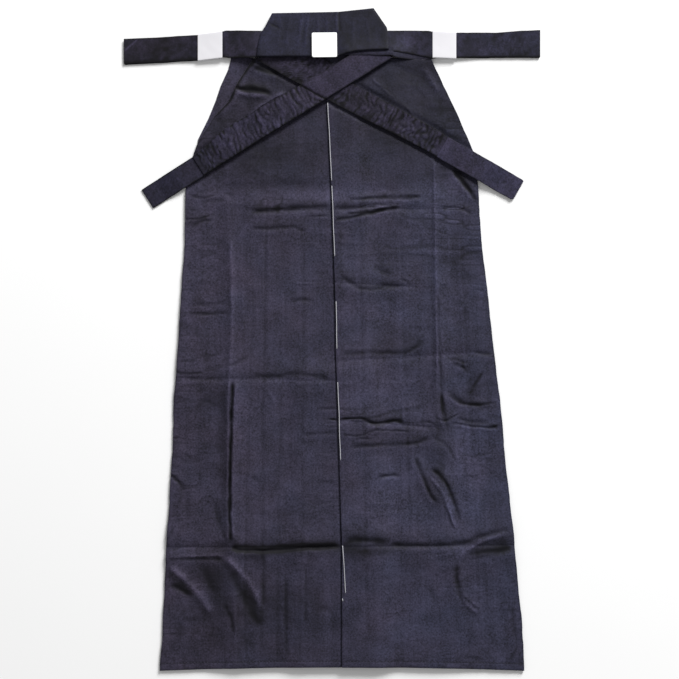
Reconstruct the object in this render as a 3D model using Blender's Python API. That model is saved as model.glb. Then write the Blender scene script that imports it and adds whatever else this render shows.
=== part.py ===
"""Hakama trousers laid flat on their front, back panels up, with the ties folded and crossed on top.

World: metres, +Z up, +Y towards the waist, origin on the floor under the middle of the outline.
Sizes below are in millimetres. Every piece of cloth is a wall of even thickness round a path, the
line that the cloth takes in one section, and a row of such sections makes the piece.
"""

import math
from collections import namedtuple

import bmesh
import bpy

MM = 0.001

# Cloth and paper
CLOTH = 1.0  # thickness of a layer of cloth
GAP = 0.3  # air between layers that lie on each other
PITCH = CLOTH + GAP  # from one layer to the next
PAPER = 0.5  # thickness of the paper keepers
CARD = 1.0  # thickness of the size label

# Outline of the skirt, its centre fold, and the edges of the back panels inside it
Section = namedtuple("Section", "y left back_left centre back_right right")
SECTIONS = (
    Section(469, -160, -104, -12, 76, 158),
    Section(450, -162, -104, -11, 76, 159),
    Section(447, -162, -127, -11, 159, 160),
    Section(431, -166, -138, -10, 166, 166),
    Section(405, -178, -154, -9, 178, 178),
    Section(381, -186, -165, -8, 190, 190),
    Section(354, -197, -190, -7, 203, 203),
    Section(320, -214, -212, -5, 218, 218),
    Section(292, -222, -222, -4, 230, 230),
    Section(239, -234, -234, -1, 234, 234),
    Section(159, -235, -235, 2, 238, 238),
    Section(63, -242, -242, 5, 250, 250),
    Section(-17, -247, -247, 6, 258, 258),
    Section(-97, -253, -253, 9, 269, 269),
    Section(-177, -255, -255, 11, 275, 275),
    Section(-337, -265, -265, 16, 293, 293),
    Section(-481, -272, -272, 16, 306, 306),
    Section(-523, -275, -275, 16, 307, 307),
)
WAIST_Y = 450  # waist seam
HEM_Y = -523  # hem at the centre fold
HEM_BOW = 6.2  # how far the hem's corners hang below its middle
HEM_BOW_REACH = 90  # height over which the bow fades out
SEAM_RISE = 1.6  # the back panels' upper margin rises to its seam under the board
SEAM_RISE_Y = (456, 465)

# Front: knife pleats, as shares of the way from the centre to the side
LEFT_PLEATS = (0.44, 0.32, 0.20)
RIGHT_PLEATS = (0.44, 0.30)
PLEAT_DEPTH = 0.075
CENTRE_FOLD_DEPTH = 0.10
STEP_START, STEP_END = 2.0, 6.5  # where the cloth steps down past a pleat's fold
FRONT_FLAT = 0.7  # share of width at which the pleated part ends
FRONT_INSET = 3.0  # how far the front's side stays inside the back's
FRONT_HEM_INSET = 1.5

# Gussets between the legs, folded flat
GUSSET_DEPTH = 0.20
GUSSET_FOLD = 1.0  # from the centre fold to the gusset's seams
CROTCH_Y = -60

# Where the back panels come down from the layers below, as shares of width and as heights on the skirt
OFF_PLEATS = (0.56, 0.80)
OFF_GUSSET = (0.22, 0.34)
OFF_CROTCH_Y = (CROTCH_Y - 5, CROTCH_Y + 45)
ONTO_WAIST_Y = (WAIST_Y - 30, WAIST_Y - 4)
OFF_CENTRE = (0.185, 0.30)

# Back panels, as shares of the way from the centre to the side
COLUMNS = (1.0, 0.9, 0.8, 0.70, 0.64, 0.585, 0.54, 0.45, 0.36, 0.28, 0.22, 0.185, 0.09)
UNDERLAP = (0.08, 0.16)  # the left panel goes on under the right one
CENTRE_PLEAT = (0.09, 0.17)  # the right panel turns back under itself
EXTRA_ROWS = (206, 188, 102, 87, 72, 20, -32, -64, -80, -135, -150, -228, -300, -317, -331, -345, -362, -420)

# Largest storage creases, from one end to the other
Crease = namedtuple("Crease", "kind x0 y0 x1 y1 rise reach")
CREASES = (
    Crease("ridge", -165, 215, -154, -515, 1.8, 13),
    Crease("ridge", 174, 235, 169, -175, 1.8, 13),
    Crease("ridge", 169, -175, 197, -420, 1.4, 13),
    Crease("valley", -262, -333, 285, -329, 2.2, 16),
    Crease("valley", -240, -62, 0, -66, 1.5, 14),
    Crease("valley", 20, -34, 262, -20, 1.5, 16),
    Crease("valley", 15, -130, 156, -140, 1.8, 12),
    Crease("valley", -120, 205, 140, 208, 1.4, 16),
    Crease("valley", 12, 90, 120, 84, 1.4, 13),
    Crease("ridge", 126, -188, 174, -268, 1.4, 12),
)
CREASE_TOP_Y, CREASE_FADE = 215, 30  # creases fade out under the ties

# Back board, a stiff trapezoid covered with the cloth, its lower edge resting on the folded ties
Board = namedtuple("Board", "left_x left_y middle_y right_x right_y")
BOARD = (
    Board(-120, 450, 450, 91, 450),
    Board(-118, 471, 471, 90, 471),
    Board(-114, 488, 489, 87.5, 491),
    Board(-106, 501, 507, 79, 508),
    Board(-96, 521, 523, 66.5, 529.2),
)
BOARD_MIDDLE_X = 10
BOARD_THICKNESS = 3.0
BOARD_LOW_Z = 13.3  # underside at the waist seam
BOARD_SLOPE = 0.145  # fall of the underside towards the top edge
BOARD_RIDGE = 0.8  # crease down the middle
BOARD_RIDGE_REACH = 60

# Waistband of the front, under everything, folded over at its upper edge
BAND_LEFT, BAND_RIGHT = -163.0, 157.5
BAND_LOW_Y, BAND_HIGH_Y = 451.6, 486.0

# Back ties, each folded in three beside the board, with a paper keeper
TIE_SPAN = 665.6  # from end to end over both back ties
BackTie = namedtuple("BackTie", "x y width")
LEFT_BACK_TIE = (
    BackTie(-108, 471.5, 42.0),
    BackTie(-122, 471.5, 42.6),
    BackTie(-170, 471.8, 42.6),
    BackTie(-178, 470.5, 40.0),
    BackTie(-216, 465.5, 40.0),
    BackTie(-TIE_SPAN / 2, 459.5, 40.0),
)
RIGHT_BACK_TIE = (
    BackTie(80, 471.5, 42.0),
    BackTie(94, 471.5, 42.6),
    BackTie(156, 471.0, 42.6),
    BackTie(164, 470.5, 40.0),
    BackTie(200, 469.5, 40.0),
    BackTie(262, 470.0, 39.0),
    BackTie(300, 471.5, 42.0),
    BackTie(TIE_SPAN / 2, 472.0, 44.0),
)
BACK_TIE_Z = 2.9  # underside where it lies on the waistband
TIE_DROP_START, TIE_DROP_END = 166, 250  # distance from the middle where it comes down to the floor
BACK_TIE_STEP = 12
BACK_TIE_TURN = 1.5  # the lowest layer stops this far inside the fold of the end
LEFT_KEEPER = (-214.4, -175.0)
RIGHT_KEEPER = (160.6, 198.4)
KEEPER_STATIONS = 5
KEEPER_SLACK = 0.1

# Front ties: axis from under the board to the outer end, and how far each edge lies from the axis
Strap = namedtuple("Strap", "x0 y0 x1 y1")
OVER_TIE = Strap(66, 454, -297.5, 224)
UNDER_TIE = Strap(-86, 455, 298, 238)
OVER_BEND = 331  # the upper layer of the tie on top ends here
UNDER_BEND = 301  # the outer layer of the tie below starts here
OVER_SKEW = (-20, 26)  # the ends under the board are cut along its edge
UNDER_SKEW = (-27, 26)
SKEW_REACH = 150
TIE_STEP = 12
TIE_REACH = 14  # length over which a tie bends up and down
TIE_TURN = 3  # inner layers stop this far inside the outer end
UNDER_TURN = 1
OVER_HALF, UNDER_HALF = 27, 28  # half widths over which a tie rests on what it crosses
TIE_CLEARANCE = 4  # the tie on top clears the edges of the one below by this

# Edges of the front ties, across from the axis; the columns are s, lower edge and upper edge
Edges = namedtuple("Edges", "s low high")
OVER_TOP_EDGES = (Edges(60, -20.0, 19.0), Edges(250, -17.6, 26.0))
OVER_TIP_IN, OVER_TIP_S = 9.0, (262, 331)  # its upper edge comes in again by this towards its end
OVER_LOW_EDGES = Edges(0, -18.6, 16.5)
UNDER_INNER_EDGES = (Edges(90, -25.0, 17.0), Edges(300, -17.5, 19.5))
UNDER_OUTER_EDGES = Edges(0, -18.0, 17.5)
UNDER_TOP_EDGES = Edges(0, -18.6, 18.2)
UNDER_NARROWS = 20  # length over which its lower layers narrow before UNDER_BEND
PUCKER_PITCH = 7.0
PUCKER_RISE = 0.45
OVER_PUCKERS = (100, 325)
UNDER_PUCKERS = (135, 295)

# Size label, bare, on the board
LABEL_CENTRE = (-12, 468.5)
LABEL_SIDE = 40
LABEL_CORNER = 2.0
LABEL_SLACK = 0.1

# Linear colours: red, green, blue, then roughness
NAVY = (0.040, 0.037, 0.060, 0.62)
NAVY_TIE = (0.036, 0.033, 0.056, 0.60)
NAVY_BOARD = (0.030, 0.028, 0.045, 0.60)
PAPER_WHITE = (0.84, 0.82, 0.85, 0.70)
LABEL_WHITE = (0.90, 0.90, 0.90, 0.60)


def smooth(low, high, value):
    """0 below low, 1 above high and a soft step between."""
    share = min(1.0, max(0.0, (value - low) / (high - low)))
    return share * share * (3 - 2 * share)


def between(rows, key, at):
    """The row of a table worked out for a place between its rows, whose key falls from row to row."""
    for above, below in zip(rows, rows[1:]):
        high, low = getattr(above, key), getattr(below, key)
        if at >= low or below is rows[-1]:
            share = (high - at) / (high - low)
            return type(above)(*[a + (b - a) * share for a, b in zip(above, below)])
    return rows[-1]


def section_at(y):
    return between(SECTIONS, "y", y)


def share_of_width(x, section):
    """0 at the centre fold, 1 at the side, on either side of it."""
    side = section.left if x < section.centre else section.right
    return (x - section.centre) / (side - section.centre)


def crease_height(x, y):
    """How far the storage creases lift the back panels."""
    total = 0.0
    for crease in CREASES:
        along_x, along_y = crease.x1 - crease.x0, crease.y1 - crease.y0
        length = math.hypot(along_x, along_y)
        along = ((x - crease.x0) * along_x + (y - crease.y0) * along_y) / length
        aside = abs((x - crease.x0) * along_y - (y - crease.y0) * along_x) / length
        beyond = max(0.0, -along, along - length)
        fade = math.exp(-((beyond / crease.reach) ** 2))
        q = aside / crease.reach
        shape = math.exp(-q * q) if crease.kind == "ridge" else q * math.exp(1 - q)
        total += crease.rise * shape * fade
    return total * (1 - smooth(CREASE_TOP_Y, CREASE_TOP_Y + CREASE_FADE, y))


def under_back(x, y):
    """Underside of the lowest back layer, which follows the pleats, gussets and sides below it."""
    share = share_of_width(x, section_at(y))
    over_pleats = max(1 - smooth(*OFF_PLEATS, share), smooth(*ONTO_WAIST_Y, y))
    over_gusset = (1 - smooth(*OFF_GUSSET, share)) * (1 - smooth(*OFF_CROTCH_Y, y))
    seam_rise = SEAM_RISE * smooth(*SEAM_RISE_Y, y)
    return PITCH * (1 + 2 * over_pleats + 2 * over_gusset) + seam_rise


def centre_pleat_lift(share):
    """How far the right panel's upper layer rides on the layers under the centre fold."""
    return 2 * PITCH * (1 - smooth(*OFF_CENTRE, share))


def skirt_rows():
    """Heights of the sections of the back panels, from the hem up."""
    return sorted({section.y for section in SECTIONS} | set(EXTRA_ROWS))


def panel_points(y, side):
    """The outer layer of a back panel at y, from its side to the centre: x, share of width and z."""
    section = section_at(y)
    edge = section.back_left if side < 0 else section.back_right
    points = []
    for column in (*COLUMNS, 0.0):
        x = section.centre + (edge - section.centre) * column
        share = share_of_width(x, section) if column else 0.0
        lift = crease_height(x, y)
        if side < 0:
            lift *= smooth(0.0, COLUMNS[-1], column)
        else:
            lift += centre_pleat_lift(share)
        points.append((x, share, under_back(x, y) + CLOTH / 2 + lift))
    return points


class BackSurface:
    """Upper face of the back panels, read between the points that the panels are made from."""

    def __init__(self):
        self.rows = skirt_rows()
        self.profiles = []
        for y in self.rows:
            points = panel_points(y, -1) + panel_points(y, 1)[::-1]
            self.profiles.append([(x, z + CLOTH / 2) for x, _, z in points])

    def profile_height(self, i, x):
        profile = self.profiles[i]
        for (x0, z0), (x1, z1) in zip(profile, profile[1:]):
            if x <= x1:
                return z0 if x <= x0 or x1 == x0 else z0 + (z1 - z0) * (x - x0) / (x1 - x0)
        return profile[-1][1]

    def top(self, x, y):
        """Height at (x, y), or just under the floor outside the outline."""
        section = section_at(y)
        if not self.rows[0] <= y < self.rows[-1] or not section.left < x < section.right:
            return -GAP
        i = next(i for i in range(len(self.rows) - 1) if y < self.rows[i + 1])
        share = (y - self.rows[i]) / (self.rows[i + 1] - self.rows[i])
        low, high = self.profile_height(i, x), self.profile_height(i + 1, x)
        return low + (high - low) * share


def faces_of_path(path, half, closed):
    """The two faces of a wall round a path of (u, v, z) points, mitred at its corners."""
    upper, lower = [], []
    count = len(path)
    for i, (u, v, z) in enumerate(path):
        normals = []
        for a, b in ((i - 1, i), (i, i + 1)):
            if closed or (a >= 0 and b < count):
                start, end = path[a % count], path[b % count]
                run, rise = end[0] - start[0], end[2] - start[2]
                length = math.hypot(run, rise)
                normals.append((-rise / length, run / length))
        first, last = normals[0], normals[-1]
        across, up = first[0] + last[0], first[1] + last[1]
        size = math.hypot(across, up)
        across, up = across / size, up / size
        reach = half / (across * first[0] + up * first[1])
        upper.append((u + across * reach, v, z + up * reach))
        lower.append((u - across * reach, v, z - up * reach))
    return upper, lower


def material(name, colour):
    """A plain finish: red, green, blue and roughness."""
    made = bpy.data.materials.new(name)
    made.use_nodes = True
    shader = made.node_tree.nodes["Principled BSDF"]
    shader.inputs["Base Color"].default_value = (*colour[:3], 1.0)
    shader.inputs["Roughness"].default_value = colour[3]
    shader.inputs["Metallic"].default_value = 0.0
    made.diffuse_color = (*colour[:3], 1.0)
    made.roughness = colour[3]
    return made


def flat_place(u, v, z):
    return u, v, z


def wall(name, rows, colour, thickness=CLOTH, place=flat_place, closed=False):
    """One piece: a wall round the paths in rows, which all have as many points.

    place turns a path's (u, v, z) into a place in the part.
    """
    mesh = bmesh.new()
    rings = []
    for path in rows:
        ring = []
        for side in faces_of_path(path, thickness / 2, closed):
            ring.append([mesh.verts.new([c * MM for c in place(*point)]) for point in side])
        rings.append(ring)
    spans = len(rows[0]) if closed else len(rows[0]) - 1
    count = len(rows[0])
    for (upper, lower), (next_upper, next_lower) in zip(rings, rings[1:]):
        for i in range(spans):
            j = (i + 1) % count
            mesh.faces.new((upper[i], upper[j], next_upper[j], next_upper[i]))
            mesh.faces.new((lower[j], lower[i], next_lower[i], next_lower[j]))
        if not closed:
            mesh.faces.new((lower[0], upper[0], next_upper[0], next_lower[0]))
            mesh.faces.new((upper[-1], lower[-1], next_lower[-1], next_upper[-1]))
    for upper, lower in (rings[0], rings[-1]):
        for i in range(spans):
            j = (i + 1) % count
            mesh.faces.new((upper[i], upper[j], lower[j], lower[i]))
    bmesh.ops.recalc_face_normals(mesh, faces=mesh.faces)
    data = bpy.data.meshes.new(name)
    mesh.to_mesh(data)
    mesh.free()
    data.shade_smooth()
    data.set_sharp_from_angle(angle=math.radians(35))
    data.materials.append(material(name, colour))
    piece = bpy.data.objects.new(name, data)
    bpy.context.scene.collection.objects.link(piece)
    return piece


def bowed(y, share):
    """The hem and the rows near it hang lower towards the sides."""
    near_hem = max(0.0, 1 - (y - HEM_Y) / HEM_BOW_REACH)
    return y - HEM_BOW * share * share * near_hem * near_hem


def back_left():
    """The left back panel, from its side to the centre and on under the right panel."""
    rows = []
    for y in skirt_rows():
        section = section_at(y)
        path = [(x, bowed(y, share), z) for x, share, z in panel_points(y, -1)]
        for share in UNDERLAP:
            x = section.centre + (section.right - section.centre) * share
            path.append((x, bowed(y, share), under_back(x, y) + CLOTH / 2))
        rows.append(path)
    return wall("back_left", rows, NAVY)


def back_right():
    """The right back panel, from its side to the fold at the centre and back under itself."""
    rows = []
    for y in skirt_rows():
        section = section_at(y)
        points = panel_points(y, 1)
        path = [(x, bowed(y, share), z) for x, share, z in points[:-1]]
        fold = section.centre + CLOTH / 2
        low = under_back(fold, y) + PITCH + CLOTH / 2
        path.append((fold, y, points[-1][2]))
        path.append((fold, y, low))
        for share in CENTRE_PLEAT:
            x = section.centre + (section.right - section.centre) * share
            path.append((x, bowed(y, share), under_back(x, y) + PITCH + CLOTH / 2))
        rows.append(path)
    return wall("back_right", rows, NAVY)


def front(name, side, pleats):
    """A front panel on the floor: outer layers at the bottom, each pleat turned up over them."""
    rows = []
    for section in SECTIONS[1:]:
        edge = section.left if side < 0 else section.right
        if side > 0 or section.left == section.back_left:
            edge -= side * FRONT_INSET
        width = abs(edge - section.centre)
        y = max(section.y, HEM_Y + FRONT_HEM_INSET) if section.y < WAIST_Y else WAIST_Y
        path = [(width, CLOTH / 2), (width * FRONT_FLAT, CLOTH / 2)]
        for pleat in pleats:
            fold = width * pleat
            inner = width * (pleat + PLEAT_DEPTH)
            for level in range(2):
                path.append((fold if level == 0 else inner, CLOTH / 2 + level * PITCH))
                path.append((fold if level == 0 else inner, CLOTH / 2 + (level + 1) * PITCH))
            path.append((fold - STEP_START, CLOTH / 2 + 2 * PITCH))
            path.append((fold - STEP_END, CLOTH / 2))
        centre = (CLOTH + GAP) / 2
        path.append((centre, CLOTH / 2))
        path.append((centre, CLOTH / 2 + PITCH))
        path.append((width * CENTRE_FOLD_DEPTH, CLOTH / 2 + PITCH))
        rows.append([(section.centre + side * u, bowed(y, u / width), z) for u, z in path])
    return wall(name, rows, NAVY)


def gusset(name, side):
    """Half of the strip between the legs, folded flat between front and back, its fold outwards."""
    rows = []
    for section in SECTIONS:
        if section.y > CROTCH_Y:
            continue
        y = max(section.y, HEM_Y + FRONT_HEM_INSET)
        edge = section.left if side < 0 else section.right
        depth = abs(edge - section.centre) * GUSSET_DEPTH
        low = 3 * PITCH + CLOTH / 2
        path = [(GUSSET_FOLD, low), (depth, low), (depth, low + PITCH), (GUSSET_FOLD, low + PITCH)]
        rows.append([(section.centre + side * u, y, z) for u, z in path])
    return wall(name, rows, NAVY)


def turned_place(u, v, z):
    """For paths that run along Y, with sections along X."""
    return v, u, z


def front_waistband():
    """A strip folded in two along the top of the front."""
    low, high = CLOTH / 2, CLOTH / 2 + PITCH
    path = [(BAND_LOW_Y, low), (BAND_HIGH_Y, low), (BAND_HIGH_Y, high), (BAND_LOW_Y, high)]
    rows = [[(y, x, z) for y, z in path] for x in (BAND_LEFT, BAND_RIGHT)]
    return wall("front_waistband", rows, NAVY_TIE, place=turned_place)


def back_tie_at(table, x):
    """Centre line and width of a back tie at x."""
    outward = sorted(table, key=lambda row: -row.x)
    return between(outward, "x", x)


def back_tie_floor(x):
    """Underside of a back tie, which comes down from the waistband to the floor."""
    return BACK_TIE_Z * (1 - smooth(TIE_DROP_START, TIE_DROP_END, abs(x)))


def back_tie(name, table):
    """A back tie folded in three: out, back and out again, to its free end on top."""
    root, bend, tip = table[0].x, table[1].x, table[-1].x
    side = 1 if tip > 0 else -1
    tip -= side * CLOTH / 2
    inner = bend + side * CLOTH / 2
    turn = tip - side * BACK_TIE_TURN
    runs = ((root, turn, 0), (turn, inner, 1), (inner, tip + side * CLOTH / 2, 2))
    path = []
    for start, end, level in runs:
        steps = max(2, round(abs(end - start) / BACK_TIE_STEP))
        for i in range(steps + 1):
            x = start + (end - start) * i / steps
            path.append((x, back_tie_floor(x) + CLOTH / 2 + level * PITCH))
    rows = []
    for edge in (-1, 0, 1):
        row = []
        for x, z in path:
            at = back_tie_at(table, x)
            row.append((x, at.y + edge * at.width / 2, z))
        rows.append(row)
    return wall(name, rows, NAVY_TIE)


def keeper(name, table, ends):
    """A paper band round a folded back tie."""
    rows = []
    for i in range(KEEPER_STATIONS):
        x = ends[0] + (ends[1] - ends[0]) * i / (KEEPER_STATIONS - 1)
        at = back_tie_at(table, x)
        reach = at.width / 2 + GAP + PAPER / 2 + KEEPER_SLACK
        low = back_tie_floor(x) - GAP - PAPER / 2
        high = back_tie_floor(x) + 2 * PITCH + CLOTH + GAP + PAPER / 2 + KEEPER_SLACK
        corners = ((-1, low), (1, low), (1, high), (-1, high))
        rows.append([(at.y + side * reach, x, z) for side, z in corners])
    return wall(name, rows, PAPER_WHITE, thickness=PAPER, place=turned_place, closed=True)


class Axis:
    """A straight tie's axis: places along it (s) and across it (t, positive towards the waist)."""

    def __init__(self, strap):
        self.x0, self.y0 = strap.x0, strap.y0
        self.length = math.hypot(strap.x1 - strap.x0, strap.y1 - strap.y0)
        self.dx = (strap.x1 - strap.x0) / self.length
        self.dy = (strap.y1 - strap.y0) / self.length
        self.up = 1 if self.dx > 0 else -1

    def place(self, s, t, z=0.0):
        x = self.x0 + self.dx * s - self.dy * t * self.up
        y = self.y0 + self.dy * s + self.dx * t * self.up
        return x, y, z

    def local(self, x, y):
        s = (x - self.x0) * self.dx + (y - self.y0) * self.dy
        t = ((y - self.y0) * self.dx - (x - self.x0) * self.dy) * self.up
        return s, t


def edges_between(first, last, s):
    """A tie's edges at s, which go softly from the first place's to the last's."""
    share = smooth(first.s, last.s, s)
    return first.low + (last.low - first.low) * share, first.high + (last.high - first.high) * share


def over_edges(s, level):
    """Lower and upper edge of the tie on top."""
    if level < 2:
        return OVER_LOW_EDGES.low, OVER_LOW_EDGES.high
    low, high = edges_between(*OVER_TOP_EDGES, s)
    return low, high - OVER_TIP_IN * smooth(*OVER_TIP_S, s)


def under_edges(s, level):
    """Lower and upper edge of the tie below."""
    if level == 2:
        return UNDER_TOP_EDGES.low, UNDER_TOP_EDGES.high
    outer = UNDER_OUTER_EDGES
    low, high = edges_between(*UNDER_INNER_EDGES, s)
    share = smooth(UNDER_BEND - UNDER_NARROWS, UNDER_BEND, s)
    return low + (outer.low - low) * share, high + (outer.high - high) * share


def draped(axis, support, reach_across):
    """Underside of a stiff tie over what it crosses: a running maximum, smoothed by a running mean."""
    step = TIE_REACH / 4
    places = [i * step for i in range(-16, int(axis.length / step) + 8)]
    offsets = [reach_across * k / 3 for k in range(-3, 4)]
    heights = [max(support(*axis.place(s, t)[:2]) for t in offsets) + GAP for s in places]

    def window(values, i):
        return values[max(0, i - 4) : i + 5]

    peaks = [max(window(heights, i)) for i in range(len(heights))]
    soft = [sum(window(peaks, i)) / len(window(peaks, i)) for i in range(len(peaks))]

    def floor(s):
        at = min(max((s - places[0]) / step, 0), len(soft) - 1.001)
        i = int(at)
        return soft[i] + (soft[i + 1] - soft[i]) * (at - i)

    return floor


def tie_path(runs, puckers):
    """Stops of a folded tie, (s, level, rise): each run goes from one s to another on its own level."""
    path = []
    for start, end, level, puckered in runs:
        steps = round(abs(end - start) / TIE_STEP)
        stops = {start + (end - start) * i / steps for i in range(steps)} | {end}
        if puckered:
            low, high = puckers
            stops = {s for s in stops if not low < s < high}
            stops |= {low + i * PUCKER_PITCH / 2 for i in range(int((high - low) / PUCKER_PITCH * 2) + 1)}
        for s in sorted(stops, reverse=start > end):
            rise = 0.0
            if puckered and puckers[0] < s < puckers[1]:
                turn = (s - puckers[0]) / PUCKER_PITCH
                rise = PUCKER_RISE * (1 - math.cos(2 * math.pi * turn)) / 2
            path.append((s, level, rise))
    return path


def front_tie(name, axis, path, floor, edges, skew):
    """A front tie from its folded path, its upper end cut along the board's lower edge."""
    rows = []
    for side in (0, 1):
        row = []
        for s, level, rise in path:
            place = s + skew[side] * max(0.0, 1 - s / SKEW_REACH)
            z = floor(place) + CLOTH / 2 + level * PITCH + rise
            row.append((place, edges(s, level)[side], z))
        rows.append(row)
    return wall(name, rows, NAVY_TIE, place=axis.place)


def front_ties():
    """Both front ties, one crossing over the other below the board."""
    under_axis, over_axis = Axis(UNDER_TIE), Axis(OVER_TIE)
    surface = BackSurface()
    under_floor = draped(under_axis, surface.top, UNDER_HALF)
    length = under_axis.length
    under_runs = (
        (length - TIE_TURN, 0, 0, False),
        (0, length - UNDER_TURN, 1, True),
        (length - UNDER_TURN, UNDER_BEND, 2, False),
    )
    under_path = tie_path(under_runs, UNDER_PUCKERS)
    front_tie("front_tie_left", under_axis, under_path, under_floor, under_edges, UNDER_SKEW)

    def support(x, y):
        s, t = under_axis.local(x, y)
        low, high = under_edges(s, 1)
        beside = low - TIE_CLEARANCE < t < high + TIE_CLEARANCE
        if beside and UNDER_SKEW[0] - TIE_CLEARANCE < s < length + TIE_CLEARANCE:
            levels = 3 if s > UNDER_BEND else 2
            return under_floor(s) + levels * PITCH - GAP
        return surface.top(x, y)

    over_floor = draped(over_axis, support, OVER_HALF)
    length = over_axis.length
    over_runs = (
        (0, length - TIE_TURN, 0, False),
        (length - TIE_TURN, 0, 1, False),
        (0, OVER_BEND, 2, True),
    )
    over_path = tie_path(over_runs, OVER_PUCKERS)
    front_tie("front_tie_right", over_axis, over_path, over_floor, over_edges, OVER_SKEW)


def board_underside(x, y):
    ridge = max(0.0, 1 - abs(x - BOARD_MIDDLE_X) / BOARD_RIDGE_REACH)
    return BOARD_LOW_Z - BOARD_SLOPE * (y - WAIST_Y) + BOARD_RIDGE * ridge


def back_board():
    """The stiff board over the small of the back, covered with the cloth."""
    rows = []
    for board in BOARD:
        path = []
        for i in range(5):
            x = board.left_x + (BOARD_MIDDLE_X - board.left_x) * i / 4
            path.append((x, board.left_y + (board.middle_y - board.left_y) * i / 4))
        for i in range(1, 4):
            x = BOARD_MIDDLE_X + (board.right_x - BOARD_MIDDLE_X) * i / 3
            path.append((x, board.middle_y + (board.right_y - board.middle_y) * i / 3))
        rows.append([(x, y, board_underside(x, y) + BOARD_THICKNESS / 2) for x, y in path])
    return wall("back_board", rows, NAVY_BOARD, thickness=BOARD_THICKNESS)


def size_label():
    """A small stiff card on the board, with nothing on it."""
    x0, y0 = LABEL_CENTRE
    half = LABEL_SIDE / 2
    lift = BOARD_THICKNESS + GAP + CARD / 2 + LABEL_SLACK
    rows = []
    for y in (y0 - half, y0 + half):
        rows.append([(x, y, board_underside(x0 + half, y) + lift) for x in (x0 - half, x0 + half)])
    label = wall("size_label", rows, LABEL_WHITE, thickness=CARD)
    mesh = bmesh.new()
    mesh.from_mesh(label.data)
    upright = [edge for edge in mesh.edges if edge.calc_length() < 1.2 * CARD * MM]
    corner = LABEL_CORNER * MM
    bmesh.ops.bevel(mesh, geom=upright, offset=corner, segments=3, profile=0.5, affect="EDGES")
    mesh.to_mesh(label.data)
    mesh.free()
    return label


def main():
    for old in list(bpy.data.objects):
        bpy.data.objects.remove(old, do_unlink=True)
    front("front_left", -1, LEFT_PLEATS)
    front("front_right", 1, RIGHT_PLEATS)
    front_waistband()
    gusset("gusset_left", -1)
    gusset("gusset_right", 1)
    back_left()
    back_right()
    back_tie("back_tie_left", LEFT_BACK_TIE)
    back_tie("back_tie_right", RIGHT_BACK_TIE)
    keeper("paper_keeper_left", LEFT_BACK_TIE, LEFT_KEEPER)
    keeper("paper_keeper_right", RIGHT_BACK_TIE, RIGHT_KEEPER)
    front_ties()
    back_board()
    size_label()


main()
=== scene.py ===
"""Hakama trousers laid flat on their front: cloth, ties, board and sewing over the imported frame.

Run as a script. Places are in millimetres in the frame's own axes: X across, Y towards the waist, Z up.
"""

import math
from collections import namedtuple

import bmesh
import bpy
import numpy as np
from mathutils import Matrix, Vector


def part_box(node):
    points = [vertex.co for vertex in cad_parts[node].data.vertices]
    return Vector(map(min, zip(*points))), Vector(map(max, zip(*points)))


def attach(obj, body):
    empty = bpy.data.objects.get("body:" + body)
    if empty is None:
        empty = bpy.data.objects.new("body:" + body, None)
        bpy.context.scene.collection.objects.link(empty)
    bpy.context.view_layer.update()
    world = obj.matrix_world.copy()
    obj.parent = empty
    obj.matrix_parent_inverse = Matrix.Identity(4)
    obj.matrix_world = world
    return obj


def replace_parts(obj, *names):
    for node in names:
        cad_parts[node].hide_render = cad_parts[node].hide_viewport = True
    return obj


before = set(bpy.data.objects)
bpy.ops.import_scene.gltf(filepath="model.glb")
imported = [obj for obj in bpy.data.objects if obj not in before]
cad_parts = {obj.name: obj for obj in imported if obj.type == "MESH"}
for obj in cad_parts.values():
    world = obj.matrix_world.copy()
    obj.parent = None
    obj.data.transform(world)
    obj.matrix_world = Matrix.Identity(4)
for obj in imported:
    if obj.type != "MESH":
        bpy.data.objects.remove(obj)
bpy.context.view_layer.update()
ROOT = "root"
MM = 0.001

bl_info = {
    "name": "Hakama laid flat",
    "version": (1, 0, 0),
    "blender": (4, 5, 0),
    "location": "3D View > Sidebar > Hakama",
    "description": "Cloth, ties, board, paper bands and sewing of hakama trousers laid flat",
    "category": "Object",
}


def node_ends(node, axis):
    """Where a node of the frame begins and ends along an axis, to a tenth of a millimetre."""
    return tuple(round(end[axis] / MM, 1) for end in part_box(node))


# Layers of cloth
CLOTH = 1.0  # thickness of a layer
GAP = 0.3  # air between layers
PITCH = CLOTH + GAP

# Outline of the skirt, its centre fold, and the edges of the back panels inside it
Section = namedtuple("Section", "y left back_left centre back_right right")
SECTIONS = (
    Section(-523, -275, -275, 16, 307, 307),
    Section(-481, -272, -272, 16, 306, 306),
    Section(-337, -265, -265, 16, 293, 293),
    Section(-177, -255, -255, 11, 275, 275),
    Section(-97, -253, -253, 9, 269, 269),
    Section(-17, -247, -247, 6, 258, 258),
    Section(63, -242, -242, 5, 250, 250),
    Section(159, -235, -235, 2, 238, 238),
    Section(239, -234, -234, -1, 234, 234),
    Section(292, -222, -222, -4, 230, 230),
    Section(320, -214, -212, -5, 218, 218),
    Section(354, -197, -190, -7, 203, 203),
    Section(381, -186, -165, -8, 190, 190),
    Section(405, -178, -154, -9, 178, 178),
    Section(431, -166, -138, -10, 166, 166),
    Section(447, -162, -127, -11, 159, 160),
    Section(450, -162, -104, -11, 76, 159),
    Section(469, -160, -104, -12, 76, 158),
)
WAIST_Y, HEM_Y = 450, -523
HEM_BOW, HEM_BOW_REACH = 6.2, 90  # the hem's corners hang below its middle
SEAM_RISE, SEAM_RISE_Y = 1.6, (456, 465)
OFF_PLEATS = (0.56, 0.80)  # shares of width over which the back comes down from the layers below
OFF_GUSSET = (0.22, 0.34)
OFF_CROTCH_Y = (-65, -15)
ONTO_WAIST_Y = (420, 446)
OFF_CENTRE = (0.185, 0.30)
UNDERLAP = 0.14  # share of width that the left panel goes on under the right one
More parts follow.
